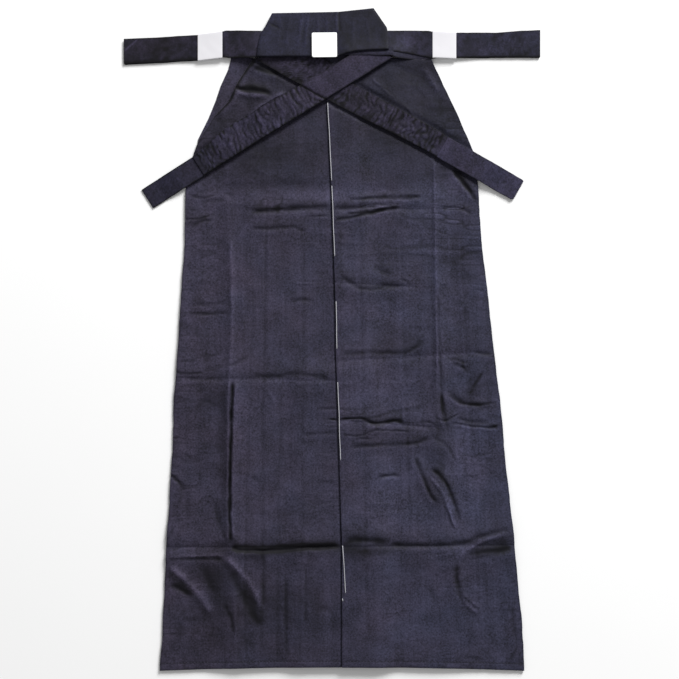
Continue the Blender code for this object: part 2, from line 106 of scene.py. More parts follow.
FOLD_BACK = 14  # the right panel turns back under itself by this
ROLL = 0.8  # radius of the panels' turned edges
SIDE_TURN, HEM_TURN = 6.0, 7.0  # how far the cloth goes on below its side and its hem
HEM_STITCH = 9.6  # height of the hem's stitching over its lower edge
SLIT_Y, SLIT_SHADOW_Y = (330, 385), (352, 366)  # the left side stands open above these; above the second, a painted shadow line and a painted highlight run beside it
HEM_SHADE, SIDE_SHADE, STITCH_SHADE = 0.6, 0.55, 0.9  # how much painted shade darkens the cloth along these
# painted shade on the left panel where it lies under the right one
UNDERLAP_SHADE = -0.3

# Mesh of the back panels: its steps, and the rows and shares of width over creases where they are closer
PANEL_WIDTH, SIDE_START = 270.0, 1.2
ROW_STEP, COLUMN_STEP, CLOSE_STEP = 2.0, 2.6, 1.25
CLOSE_ROWS = ((168, 218), (75, 102), (-160, -118), (-277, -209), (-361, -313))
CLOSE_SHARES = {-1: (0.58, 0.72), 1: (0.62, 0.75)}
LEAST_SHARE, NEAR_CENTRE, NEAR_SIDE = 0.012, 0.03, 0.985
# Mesh steps of the other pieces: both ways, or along and across
FRONT_STEP, WAISTBAND_STEP, LABEL_STEP, BAND_STEP = 14.0, 9.0, 2.0, 2.0
FRONT_TIE_STEPS, BACK_TIE_STEPS, STRIP_STEPS = (1.75, 2.6), (2.2, 2.4), (1.6, 0.9)

# Broad rises of the back panels that the frame's solids have too
Broad = namedtuple("Broad", "kind x0 y0 x1 y1 rise reach")
BROADS = (
    Broad("ridge", -165, 215, -154, -515, 1.8, 13),
    Broad("ridge", 174, 235, 169, -175, 1.8, 13),
    Broad("ridge", 169, -175, 197, -420, 1.4, 13),
    Broad("valley", -262, -333, 285, -329, 2.2, 16),
    Broad("valley", -240, -62, 0, -66, 1.5, 14),
    Broad("valley", 20, -34, 262, -20, 1.5, 16),
    Broad("valley", 15, -130, 156, -140, 1.8, 12),
    Broad("valley", -120, 205, 140, 208, 1.4, 16),
    Broad("valley", 12, 90, 120, 84, 1.4, 13),
    Broad("ridge", 126, -188, 174, -268, 1.4, 12),
)
BROAD_FADE_Y = (215, 245)

# Listed creases: height, half width, and the places that each one runs through
Crease = namedtuple("Crease", "kind height width places")


def groove(height, width, *places):
    """A valley with painted shade along it."""
    return Crease("groove", height, width, places)


def ridge(height, width, *places):
    """A raised line with a painted highlight along its crest."""
    return Crease("ridge", height, width, places)


def step_up(height, width, *places):
    """A line with the cloth on one side higher than on the other, and painted shade on the lower side."""
    return Crease("step_up", height, width, places)


# Their order stays, because a crease's number in it seeds its unevenness
CREASES = (
    groove(0.8, 3.8, (198, -352), (200, -389), (207, -420)),
    ridge(1.1, 2.6, (203, -396), (213, -422), (238, -442)),
    ridge(1.3, 4.2, (204, -354), (216, -337), (242, -323), (282, -307)),
    groove(0.6, 4.2, (216, -353), (260, -343), (291, -333)),
    groove(1.1, 3.4, (173, -84), (178, -118), (183, -150)),
    groove(0.42, 2.3, (-104, 228), (-108, 60), (-110, -160), (-114, -512)),
    groove(0.40, 2.2, (-128, 40), (-134, -150), (-138, -320), (-141, -505)),
    groove(0.36, 2.2, (-84, 10), (-84, -150), (-86, -330), (-88, -510)),
    groove(0.36, 2.2, (-46, 150), (-48, -100), (-50, -300), (-52, -514)),
    groove(0.34, 2.2, (44, 180), (48, -20), (52, -260), (56, -505)),
    groove(0.40, 2.3, (108, 210), (113, 40), (118, -100), (124, -320)),
    groove(0.36, 2.2, (206, 150), (213, 20), (222, -150), (236, -480)),
    groove(2.2, 2.9, (-158, -64), (-161, -102), (-163, -205), (-164, -281), (-162, -328)),
    ridge(1.4, 3.2, (-152, -70), (-156, -104), (-158, -205), (-159, -281), (-156, -322)),
    groove(1.6, 3.2, (-162, -328), (-152, -336), (-120, -338), (-78, -336), (-40, -333), (10, -330)),
    groove(3.0, 3.2, (-120, 452), (-127, 443), (-146, 422), (-160, 399), (-166, 381), (-190, 358)),
    ridge(2.0, 3.0, (-72, 395), (-112, 374), (-136, 353)),
    groove(1.4, 3.2, (-132, 436), (-108, 429), (-80, 420)),
    groove(1.5, 2.8, (-162, 404), (-136, 397), (-112, 394), (-90, 390)),
    ridge(0.9, 3.8, (-156, 394), (-130, 388), (-104, 388)),
    ridge(0.9, 5.0, (143, 437), (158, 414), (172, 392)),
    groove(1.8, 3.2, (190, 275), (208, 252), (232, 220)),
    ridge(0.7, 1.6, (60, 420), (98, 386), (137, 352)),
    groove(0.6, 2.6, (155, -130), (160, -155), (182, -170), (200, -198)),
    groove(1.0, 1.8, (164, -126), (182, -130), (206, -118)),
    groove(0.5, 1.8, (245, -46), (228, -70), (218, -92)),
    groove(1.0, 2.0, (182, -88), (212, -104), (267, -102)),
    groove(1.1, 2.2, (188, -134), (230, -140), (272, -142)),
    groove(0.9, 1.8, (182, -30), (212, -48), (196, -60)),
    ridge(1.2, 2.0, (20, 203), (60, 208), (108, 214)),
    groove(1.2, 2.2, (20, 199), (62, 203), (112, 210)),
    groove(1.2, 2.6, (24, 222), (70, 224), (146, 226)),
    groove(0.9, 2.0, (-240, 191), (-212, 192), (-190, 200)),
    groove(0.9, 2.0, (-232, 232), (-206, 226), (-180, 232)),
    groove(1.0, 2.2, (-262, -46), (-238, -56), (-204, -54)),
    groove(1.2, 2.4, (-266, -214), (-252, -222), (-240, -236)),
    groove(0.8, 2.0, (-264, -160), (-240, -158)),
    groove(1.0, 2.6, (-282, -330), (-262, -318), (-252, -296)),
    groove(0.8, 2.0, (-24, -112), (4, -111), (30, -114)),
    groove(0.8, 2.0, (168, 76), (170, 0), (176, -124)),
    ridge(0.6, 3.0, (175, 70), (177, 0), (183, -120)),
    groove(1.2, 4, (-130, 202), (-91, 205), (-50, 209), (-2, 211)),
    groove(0.6, 2, (-46, 194), (-22, 196), (-2, 196)),
    groove(0.8, 3.5, (-134, 177), (-102, 176), (-61, 178), (-38, 167)),
    ridge(0.7, 2.5, (-126, 194), (-138, 178), (-152, 154)),
    groove(0.8, 2.5, (-226, 175), (-210, 188), (-186, 189)),
    groove(0.6, 2, (-227, 204), (-214, 207)),
    groove(0.7, 3, (-211, 218), (-190, 221), (-166, 221)),
    groove(0.7, 3, (-218, 232), (-197, 237)),
    groove(0.6, 2.5, (-170, 236), (-157, 224)),
    groove(0.8, 1.8, (-234, 88), (-223, 96)),
    groove(0.7, 2.5, (-229, 40), (-195, 40), (-163, 42)),
    groove(0.6, 3, (-232, 53), (-198, 56), (-163, 58)),
    groove(0.8, 3, (-70, 58), (-50, 62), (-26, 60)),
    groove(0.4, 3, (-32, 104), (-2, 104)),
    step_up(0.8, 5, (-176, 247), (-115, 250), (-45, 252), (-8, 250)),
    groove(1.5, 2.4, (2, 190), (30, 194), (66, 201), (90, 208)),
    groove(1, 3.5, (2, 210), (32, 209), (54, 209), (75, 213)),
    groove(0.8, 2.2, (42, 222), (83, 228), (134, 228), (147, 227)),
    groove(0.8, 3, (171, 210), (203, 209), (226, 197)),
    groove(0.9, 2.5, (194, 268), (208, 248), (224, 228)),
    groove(0.7, 2, (216, 234), (227, 223), (232, 216)),
    groove(0.7, 4, (62, 120), (77, 109), (98, 101)),
    groove(0.9, 3.5, (8, 100), (24, 93), (42, 82), (66, 80), (88, 84), (115, 84)),
    groove(0.8, 2.2, (107, 96), (118, 92), (122, 85)),
    ridge(0.6, 2.5, (170, 87), (187, 93)),
    groove(0.7, 2, (229, 79), (246, 77)),
    groove(1, 2.5, (224, -19), (238, -23), (259, -24)),
    groove(0.9, 3.6, (14, -24), (66, -22), (117, -22), (134, -12), (154, 2)),
    step_up(0.7, 6, (-8, 250), (32, 247), (77, 242), (109, 240)),
    ridge(
        1, 3.2, (-162, 159), (-160, 63), (-162, -24), (-166, -97), (-166, -177), (-167, -257), (-166, -326)
    ),
    ridge(0.7, 3, (-157, -401), (-155, -449), (-155, -494)),
    ridge(1, 3.2, (162, 287), (164, 199), (165, 127), (166, 63), (167, -17), (165, -97)),
    ridge(0.8, 3, (165, -97), (170, -120), (182, -150)),
    groove(1.0, 4, (-130, -60), (-86, -60), (-61, -56), (-21, -60), (-3, -67)),
    groove(0.6, 3, (-238, -62), (-194, -65), (-168, -66)),
    groove(0.7, 2, (-245, -36), (-221, -36)),
    groove(0.8, 3, (-171, -44), (-155, -40), (-139, -31), (-133, -22)),
    ridge(0.5, 2.5, (-112, -72), (-101, -86), (-88, -107)),
    groove(1.2, 1.6, (-11, -127), (-2, -128), (14, -128)),
    groove(0.6, 3, (-48, -155), (-21, -151), (10, -150)),
    groove(0.5, 3, (-54, -167), (-24, -164)),
    groove(0.4, 2.5, (-26, -180), (6, -182)),
    groove(0.4, 2.5, (-51, -230), (8, -228)),
    groove(0.4, 2.5, (-26, -264), (3, -259)),
    groove(1, 1.8, (-245, -185), (-234, -184), (-223, -193)),
    groove(0.6, 4, (-131, -214), (-115, -233)),
    groove(0.6, 5, (-245, -222), (-235, -251), (-232, -292)),
    groove(0.8, 4, (-190, -257), (-177, -305), (-166, -326)),
    groove(0.5, 5, (-213, -97), (-194, -102), (-182, -115)),
    groove(1.2, 2.8, (186, -28), (202, -35), (218, -38)),
    groove(1.2, 2.8, (187, -38), (218, -48)),
    groove(1.0, 2.6, (243, -49), (229, -72), (218, -91)),
    groove(1.1, 4.2, (182, -81), (202, -97), (216, -104), (253, -111)),
    groove(0.8, 4, (197, -127), (234, -134), (253, -129)),
    groove(1, 1.8, (254, -140), (267, -138)),
    groove(1.7, 2.6, (11, -129), (30, -126), (48, -127), (69, -135), (101, -130), (117, -136)),
    groove(0.9, 2.2, (142, -129), (160, -134), (168, -143)),
    groove(0.7, 1.8, (14, -152), (46, -154), (69, -146), (128, -148)),
    groove(0.7, 1.5, (34, -159), (69, -159)),
    groove(1.1, 3.4, (27, -172), (85, -169), (128, -167), (151, -159), (158, -154)),
    groove(1.4, 3, (70, -223), (91, -218), (112, -218)),
    groove(1.7, 2.8, (130, -186), (143, -215), (157, -248), (169, -265)),
    groove(1.5, 3.2, (155, -203), (176, -224), (190, -248), (203, -286)),
    ridge(1.7, 2.3, (155, -218), (178, -248), (186, -271), (198, -306)),
    groove(0.8, 2, (197, -278), (206, -289)),
    groove(
        1.3, 5.5, (-163, -332), (-130, -334), (-110, -338), (-81, -336), (-46, -332), (-13, -332), (14, -329)
    ),
    groove(1.6, 5.5, (18, -324), (38, -320), (80, -323), (93, -328)),
    groove(
        1.1, 4.2, (90, -328), (126, -330), (165, -330), (199, -327), (218, -324), (234, -316), (286, -304)
    ),
    groove(0.9, 5, (214, -345), (243, -340), (267, -338), (291, -334)),
    ridge(0.9, 3, (-262, -350), (-221, -347), (-184, -345), (-173, -347)),
    groove(1, 3, (-262, -355), (-248, -351), (-221, -352), (-184, -351), (-170, -353)),
    ridge(2.0, 4.5, (-173, -347), (-147, -372), (-125, -401), (-112, -436)),
    groove(1.1, 6.5, (-165, -369), (-138, -417), (-115, -462)),
    ridge(1.9, 5.5, (-262, -362), (-230, -390), (-210, -414), (-192, -440)),
    groove(1.3, 5, (-262, -390), (-242, -400), (-221, -414)),
    groove(0.8, 7, (-211, -356), (-198, -385), (-186, -411)),
    groove(0.8, 4, (-176, -417), (-162, -446), (-157, -473)),
    groove(0.7, 3.5, (192, -356), (199, -384), (206, -408), (210, -427)),
    ridge(0.8, 2, (208, -404), (224, -420), (242, -437)),
    groove(0.7, 2.2, (224, -427), (238, -433)),
    groove(0.5, 4, (133, -302), (140, -323)),
    groove(0.7, 4, (150, -393), (162, -412), (165, -432)),
    groove(0.5, 5, (91, -459), (112, -464)),
    groove(0.5, 5, (-29, -430), (-2, -436), (2, -472)),
    groove(0.9, 2.5, (286, -422), (292, -470), (295, -491), (280, -515)),
    ridge(0.7, 2, (301, -494), (282, -515)),
    groove(0.5, 3, (205, -505), (248, -512)),
    groove(0.8, 2, (-262, -504), (-248, -514)),
    groove(0.6, 2.5, (-262, -472), (-243, -473)),
    groove(1.5, 3.4, (-154, 398), (-136, 400), (-115, 397), (-99, 394)),
    groove(0.6, 2.2, (-166, 426), (-162, 415), (-158, 402)),
    groove(0.5, 1.6, (66, 416), (96, 389), (130, 356)),
    groove(0.35, 2, (-81, -115), (-81, -200)),
    groove(0.35, 2, (-48, -104), (-48, -160)),
    groove(0.35, 2, (-47, -224), (-46, -289), (-45, -329)),
    groove(0.9, 2.2, (-110, -342), (-109, -430)),
    groove(0.9, 2.2, (-74, -376), (-74, -425), (-72, -512)),
    groove(0.8, 2.2, (-42, -352), (-42, -456)),
    groove(0.3, 2, (-106, 172), (-106, 45)),
    groove(0.3, 2, (-75, 111), (-75, -30)),
    groove(0.35, 2.5, (-112, -89), (-112, -177)),
    ridge(0.35, 2, (-142, 108), (-142, 7)),
    ridge(0.35, 2, (104, 215), (104, 188)),
    groove(0.35, 2.5, (118, -97), (122, -209)),
    groove(0.35, 3, (197, -345), (198, -417)),
)

# Painted light and shade over the skirt, in zones: middle, reach either way, and how light
Zone = namedtuple("Zone", "x y reach_x reach_y tone")
LIGHT_AND_SHADE_ZONES = (
    Zone(-174, -205, 8, 120, -0.5),
    Zone(-147, -112, 17, 42, 0.45),
    Zone(-52, -337, 115, 9, -0.9),
    Zone(-104, -341, 62, 8, -0.45),
    Zone(54, -331, 42, 8, -0.95),
    Zone(-204, -372, 34, 18, -0.65),
    Zone(-176, -404, 20, 26, -0.4),
    Zone(-104, -428, 62, 24, -0.35),
    Zone(-120, -440, 170, 70, -0.35),
    Zone(70, 44, 58, 15, 0.55),
    Zone(86, -82, 56, 27, 0.5),
    Zone(92, -254, 56, 52, 0.45),
    Zone(217, -218, 20, 72, 0.55),
    Zone(112, -9, 38, 12, -0.3),
    Zone(58, -27, 44, 9, -0.3),
    Zone(174, -168, 8, 84, -0.5),
    Zone(-104, 288, 58, 26, -0.6),
    Zone(22, 229, 74, 9, 0.5),
    Zone(-102, 246, 84, 10, -0.45),
    Zone(-118, -340, 12, 20, -0.3),
    Zone(96, -440, 76, 46, 0.25),
    Zone(-228, 70, 12, 120, 0.25),
    Zone(-212, -96, 30, 18, -0.25),
    Zone(100, 330, 34, 40, -0.3),
    Zone(104, 246, 40, 16, -0.35),
    Zone(250, -330, 34, 14, -0.5),
    Zone(206, 120, 16, 70, -0.2),
    Zone(-182, 330, 24, 30, -0.3),
)

# Broad painted shade over the skirt: how light, between which heights, and from where to where across
Shading = namedtuple("Shading", "tone up across")
SHADINGS = (
    Shading(-0.45, (244, 262), (-400, -390)),
    Shading(-0.5, (290, 360), (10, 90)),
    Shading(-0.2, (300, 380), (0, -60)),
)
PALE_BAND, PALE_BAND_Y, PALE_BAND_REACH, PALE_BAND_ENDS = 0.22, 236, 15, (150, 200)

SWELL = 1.5  # slack of the upper cloth over the layers below
LIGHT_FROM = (0.47, 0.88)  # where the light comes from in the picture
CREASE_GAIN, CREASE_TAPER, CREASE_REACH, CREASE_STRAY = 1.8, 12.0, 6, 0.9
FLANK = 0.4  # how much painted light and shade the sides of a crease take, by how far each faces the light

# Bands of small crumples: how strong, how high on the skirt, their reach, and from where across
Band = namedtuple("Band", "strength y reach start_x")
CRUMPLED = (
    Band(0.75, 208, 24, (-400, -390)),
    Band(0.5, -122, 20, (-30, 20)),
    Band(0.4, 150, 22, (-20, 20)),
)
CRUMPLED_SIDES, CRUMPLED_SIDES_X, CRUMPLED_LEAST = 0.3, (150, 200), 0.14

# Back board and what shows at its lower edge
Board = namedtuple("Board", "left_x left_y middle_y right_x right_y")
BOARD = (
    Board(-120, 450, 450, 91, 450),
    Board(-118, 471, 471, 90, 471),
    Board(-114, 488, 489, 87.5, 491),
    Board(-106, 501, 507, 79, 508),
    Board(-96, 521, 523, 66.5, 529.2),
)
BOARD_MIDDLE_X = 10
BOARD_THICKNESS = 3.0
BOARD_LOW_Z, BOARD_SLOPE = 13.3, 0.145
BOARD_RIDGE, BOARD_RIDGE_REACH = 0.8, 60
BOARD_LIFT, BOARD_LIFT_X, BOARD_LIFT_Y, BOARD_LIFT_REACH = 2.9, (4, 28), 456, 16
BOARD_LOW_EDGE = ((-120, 10, 24, 38, 60, 91), (450, 450.6, 455.5, 458.6, 460.4, 461.6))
BOARD_TOP = BOARD[-1]
BOARD_TOP_EDGE = (
    (BOARD_TOP.left_x, BOARD_MIDDLE_X, BOARD_TOP.right_x),
    (BOARD_TOP.left_y, BOARD_TOP.middle_y, BOARD_TOP.right_y),
)
BOARD_SIDES = (-116.0, 90.0)  # where the back ties come out from under it
ABOVE_LABEL_Y = (488, 494)  # its middle is creased above the label
ROLLED_CORNER, ROLLED_SLOPE = (-88, 498), 0.5
ROLLED_X = ((-102, -96), (-86, -78))
# the board's right part takes painted shade from here on
BOARD_SHADE_X = (7, 12)
# Soft upright wrinkles of the board: x at WRINKLES_Y, lean and height
WRINKLES_Y, WRINKLED_UP, WRINKLED_TO = 490, (458, 476), (505, 519)
BOARD_WRINKLES = (
    (-84, 0.1, 0.3),
    (-70, 0.1, 0.35),
    (-51, 0.12, 0.6),
    (-40, 0.05, 0.65),
    (-22, -0.06, 0.4),
    (-8, -0.03, 0.4),
    (34, -0.05, 0.25),
    (58, -0.1, 0.25),
)

# Strip of waistband between the board and the tie on top
STRIP_ENDS, STRIP_WIDTH, STRIP_Z, STRIP_CLOTH = (18.0, 98.0), 14.0, 14.1, 0.8
STRIP_LOW_EDGE = ((18, 30, 60, 91, 98), (452.4, 452.4, 452.9, 452.8, 451.6))

# Back ties, folded in three: their middle and width from under the board to the tip
LEFT_TIP, RIGHT_TIP = node_ends("back_tie_left", 0)[0], node_ends("back_tie_right", 0)[1]
BackTie = namedtuple("BackTie", "x y width")
LEFT_BACK_TIE = (
    BackTie(-108, 471.5, 42.0),
    BackTie(-122, 471.5, 42.6),
    BackTie(-170, 471.8, 42.6),
    BackTie(-178, 470.5, 40.0),
    BackTie(-216, 465.5, 40.0),
    BackTie(LEFT_TIP, 459.5, 40.0),
)
RIGHT_BACK_TIE = (
    BackTie(80, 471.5, 42.0),
    BackTie(94, 471.5, 42.6),
    BackTie(156, 471.0, 42.6),
    BackTie(164, 470.5, 40.0),
    BackTie(200, 469.5, 40.0),
    BackTie(262, 470.0, 39.0),
    BackTie(300, 471.5, 42.0),
    BackTie(RIGHT_TIP, 472.0, 44.0),
)
BACK_TIE_Z, BACK_TIE_WIDEST = 2.9, 43.0
LEFT_ROOT, RIGHT_ROOT = -104, 94  # where their lowest layer begins
TIE_DROP = (166, 250)  # distances from the middle between which they come down to the floor
LEFT_SEWN, RIGHT_SEWN = (116, 158), (90, 140)  # distances over which they come down from the board
WIDER, WIDER_X = 1.0, (165, 172)  # the lower edge hangs lower inside the paper bands
SLIP, SLIP_X = 0.5, (160, 250)  # the layers lie a little apart towards the tip
# The right tie's edges beside the board: how far the lower edge is raised on its upper and lower layers
UPPER_LAYER_LIFT = ((91, 107, 128, 155, 162), (11.3, 8.8, 5.8, 0.8, 0.0))
LOWER_LAYER_LIFT = ((94, 104, 126, 150, 158, 166), (2.4, -0.5, -2.8, -3.8, -2.0, 0.0))
MITRE, MITRE_WAY = (-320, 471), (0.74, 0.67)  # the left tie's slanting seam: its middle and direction
MITRE_HALF, MITRE_WIDTH = (12, 16), 1.1
LEFT_TIP_DIM = (-232, -246)
TIP_GATHERS, TIP_GATHER_PITCH = (244, 316), 5.5  # small gathers near the right tie's tip
PRESSED = 0.09  # share of a back tie's width that lies flattened at its lower edge, with painted shade there
# painted shade along a tie's edges: how dark, and the distances from the edge over which it fades
EDGE_SHADE, EDGE_SHADE_REACH = 1.0, (0.8, 3.2)

# Paper bands round the back ties
LEFT_KEEPER, RIGHT_KEEPER = node_ends("paper_keeper_left", 0), node_ends("paper_keeper_right", 0)
PAPER, BAND_CORNER, BAND_SLACK, BAND_BULGE, BAND_SAG = 0.5, 0.75, 0.5, 0.22, 0.2

# Front ties: axis from under the board to the outer end, and the edges on either side of it
Strap = namedtuple("Strap", "x0 y0 x1 y1")
OVER_TIE = Strap(66, 454, -297.5, 224)
UNDER_TIE = Strap(-86, 455, 298, 238)
OVER_BEND, UNDER_BEND = 331, 301  # where the upper layer of each one ends
OVER_SKEW, UNDER_SKEW, SKEW_REACH = (-22, 18), (-27, 26), 150  # the slant of their inner ends
TIE_REACH = 14  # a tie is stiff over this length
OVER_HALF, UNDER_HALF = 27, 28
TIE_CLEARANCE = 4
Edges = namedtuple("Edges", "s low high")
OVER_TOP_EDGES = (Edges(60, -20.0, 19.0), Edges(250, -17.6, 26.0))
OVER_TIP_IN, OVER_TIP_S = 9.0, (262, 331)  # its upper edge comes in again by this towards its end
OVER_LOW_EDGES = Edges(0, -18.6, 16.5)
UNDER_INNER_EDGES = (Edges(90, -25.0, 17.0), Edges(300, -17.5, 19.5))
UNDER_OUTER_EDGES = Edges(0, -18.0, 17.5)
UNDER_TOP_EDGES = Edges(0, -18.6, 18.2)
UNDER_NARROWS = 20
ROOT_WIDENS, ROOT_WIDENS_S = 13.0, (70, 108)
TIP_ROUND, TIP_ROUND_LOW, TIP_ROUND_HIGH = 4.5, 5.0, 2.0
OVER_GATHERED, UNDER_GATHERED = (60, OVER_BEND - 4), ((8, 84), (104, 297))  # stretches with gathers
UNDER_CROSS_LOW = 24.5  # the lower edge of the tie below shows through the one on top at this t
CROSSING_DROP = 1.5  # the tie on top sinks by this below the crossing
OVER_SHADE_S = 293  # and its gathers take painted shade from here on
OVER_FOLD_S = ((40, 70), (200, 215))  # it is folded in below the crossing between these, with a painted shadow line along the fold
OVER_HEM_T, UNDER_HEM_T = -19.5, -22  # the painted shadow line beside the lower edge of each one
# the tie below takes painted shade between these
UNDER_SHADE_S = (222, 262)

# Size label
LABEL_X, LABEL_Y = node_ends("size_label", 0), node_ends("size_label", 1)
LABEL_CENTRE, LABEL_SIDE = (sum(LABEL_X) / 2, sum(LABEL_Y) / 2), LABEL_X[1] - LABEL_X[0]
LABEL_CORNER, LABEL_THICKNESS, LABEL_LEAN, LABEL_LIFT, LABEL_CURL = 2.0, 0.7, math.radians(0.6), 1.3, 0.35

# Basting stitches down the centre, each from one place to the other
BASTING = (
    ((-6.9, 378), (-0.4, 251.5)),
    ((-0.1, 246), (4.1, 131)),
    ((6.5, 62), (7.7, -17)),
    ((9.2, -67), (13.7, -194)),
    ((17.0, -328), (21.4, -406)),
    ((16.6, -413), (17.2, -418)),
)
BASTING_RADIUS, BASTING_LIFT, THREAD_DIP = 0.62, 0.45, 1.4
STITCH_RANGE, STITCH_PITCH, STITCH_LENGTH, STITCH_RADIUS = (-268, 300), 5.2, 2.4, 0.3

# Cloth's looks: its weave, how its tone turns into light, and the cast of its two ends
TWILL_PITCH, THREAD_PITCH, TWILL_SHARE, TWIST = 1.9, 0.9, 0.12, 5.2
DARK_SHARE, LIGHT_SHARE = 0.08, 2.15
MIDDLE, TONE_GAIN, LEAST_LIGHT = 0.44, 0.27, 0.02
COOL, WARM = (0.90, 1.0, 1.08), (1.09, 0.98, 0.98)
WARMTH_SLOPE = 0.0013
# Its grain, from fine to broad: size, detail, whether it is drawn out, and its share in the light
Grain = namedtuple("Grain", "size detail slubbed share")
GRAINS = {
    "fuzz": Grain(1.6, 3.0, False, 1.7),
    "speckle": Grain(3.0, 2.0, False, 2.1),
    "mottle": Grain(36.0, 2.5, False, 1.2),
    "slub": Grain(2.6, 3.0, True, 0.5),
    "band": Grain(13.0, 1.0, True, 0.6),
}
SLUB = (1.0, 0.05, 1.0)

# Stage, in metres but for the floor's height
FLOOR_Z, FLOOR_REACH = -0.2, 6.0
KEY_SIZE, KEY_DISTANCE = (2.6, 2.6), 6.5

# The photograph's framing
FRAME_PIXELS = 679
MM_PER_PIXEL = 1.6
FRAME_CENTRE = (12.0, -0.4)
CAMERA_HEIGHT = 3.0
SENSOR = 36.0


def smooth(low, high, value):
    """0 below low, 1 above high and a soft step between."""
    share = np.clip((value - low) / (high - low), 0.0, 1.0)
    return share * share * (3 - 2 * share)


def wander(x, y, size, seed):
    """An uneven soft field between -1 and 1 that changes over about size."""
    u, v = np.asarray(x, float) / size, np.asarray(y, float) / size
    i, j = np.floor(u), np.floor(v)
    f, g = u - i, v - j
    f, g = f * f * (3 - 2 * f), g * g * (3 - 2 * g)

    def corner(a, b):
        mixed = np.sin((i + a) * 127.1 + (j + b) * 311.7 + seed * 74.7) * 43758.5453
        return 2 * (mixed - np.floor(mixed)) - 1

    low = corner(0, 0) + (corner(1, 0) - corner(0, 0)) * f
    high = corner(0, 1) + (corner(1, 1) - corner(0, 1)) * f
    return low + (high - low) * g


def uneven(x, y, *fields):
    """Sum of soft fields, each given by its strength, size and seed."""
    return sum(strength * wander(x, y, size, seed) for strength, size, seed in fields)


def bell(off, width, power=2):
    """1 in the middle, falling off beyond about width on either side of it."""
    return np.exp(-((off / width) ** power))


def columns_at(table, key, at):
    """The columns of a table worked out for the places at, by the column key."""
    rows = sorted(table, key=lambda row: getattr(row, key))
    keys = [getattr(row, key) for row in rows]
    return type(rows[0])(*[np.interp(at, keys, column) for column in zip(*rows)])


def share_of_width(x, section):
    """0 at the centre fold, 1 at the side, on either side of it."""
    side = np.where(x < section.centre, section.left, section.right)
    return (x - section.centre) / (side - section.centre)


def under_back(x, y):
    """Underside of the lowest back layer."""
    share = share_of_width(x, columns_at(SECTIONS, "y", y))
    over_pleats = np.maximum(1 - smooth(*OFF_PLEATS, share), smooth(*ONTO_WAIST_Y, y))
    over_gusset = (1 - smooth(*OFF_GUSSET, share)) * (1 - smooth(*OFF_CROTCH_Y, y))
    return PITCH * (1 + 2 * over_pleats + 2 * over_gusset) + SEAM_RISE * smooth(*SEAM_RISE_Y, y)


def broad_height(x, y):
    """The rises that the frame's solids have too."""
    total = np.zeros(np.shape(x))
    for broad in BROADS:
        dx, dy = broad.x1 - broad.x0, broad.y1 - broad.y0
        length = math.hypot(dx, dy)
        along = ((x - broad.x0) * dx + (y - broad.y0) * dy) / length
        aside = np.abs((x - broad.x0) * dy - (y - broad.y0) * dx) / length
        beyond = np.maximum(0.0, np.maximum(-along, along - length))
        q = aside / broad.reach
        shape = np.exp(-q * q) if broad.kind == "ridge" else q * np.exp(1 - q)
        total += broad.rise * shape * bell(beyond, broad.reach)
    return total * (1 - smooth(*BROAD_FADE_Y, y))


def curve_through(places, step=4.0):
    """Places along one soft line through the given ones."""
    fixed = np.array(places, float)
    ends = np.vstack([2 * fixed[0] - fixed[1], fixed, 2 * fixed[-1] - fixed[-2]])
    made = []
    for a, b, c, d in zip(ends, ends[1:], ends[2:], ends[3:]):
        count = max(2, int(np.hypot(*(c - b)[:2]) / step))
        t = np.linspace(0, 1, count, endpoint=False)[:, None]
        made.append(
            0.5 * (2 * b + (c - a) * t + (2 * a - 5 * b + 4 * c - d) * t**2 + (3 * b - 3 * c + d - a) * t**3)
        )
    return np.vstack([*made, fixed[-1:]])


def beside_curve(curve, x, y):
    """Distance of places to a curve, signed by its side, and how far along it they lie."""
    best = np.full(x.shape, 1e9)
    signed, along = np.zeros(x.shape), np.zeros(x.shape)
    walked = 0.0
    for a, b in zip(curve, curve[1:]):
        dx, dy = b - a
        length = math.hypot(dx, dy)
        share = np.clip(((x - a[0]) * dx + (y - a[1]) * dy) / length**2, 0, 1)
        away = np.hypot(x - a[0] - share * dx, y - a[1] - share * dy)
        nearer = away < best
        side = np.sign((x - a[0]) * dy - (y - a[1]) * dx)
        best = np.where(nearer, away, best)
        signed = np.where(nearer, away * side, signed)
        along = np.where(nearer, walked + share * length, along)
        walked += length
    return signed, along, walked


def crease_profile(kind, height, q, lit):
    """Height and painted light and shade over a crease, q half widths to its side; lit is how far that side
    faces the light.
    """
    if kind == "ridge":
        tone = 0.7 * bell(q, 0.9) + FLANK * lit * q * bell(q, 1.6)
        return height * np.exp(-np.abs(q) ** 1.4), height * tone
    if kind == "step_up":
        wide = bell(q, 5)
        return -0.5 * height * np.tanh(q) * wide, -0.35 * height * np.tanh(q) * wide
    tone = -0.95 * bell(q, 1.1) - FLANK * lit * q * bell(q, 2.2)
    return height * (0.6 * bell(q, 2.8) - bell(q, 1)), height * tone


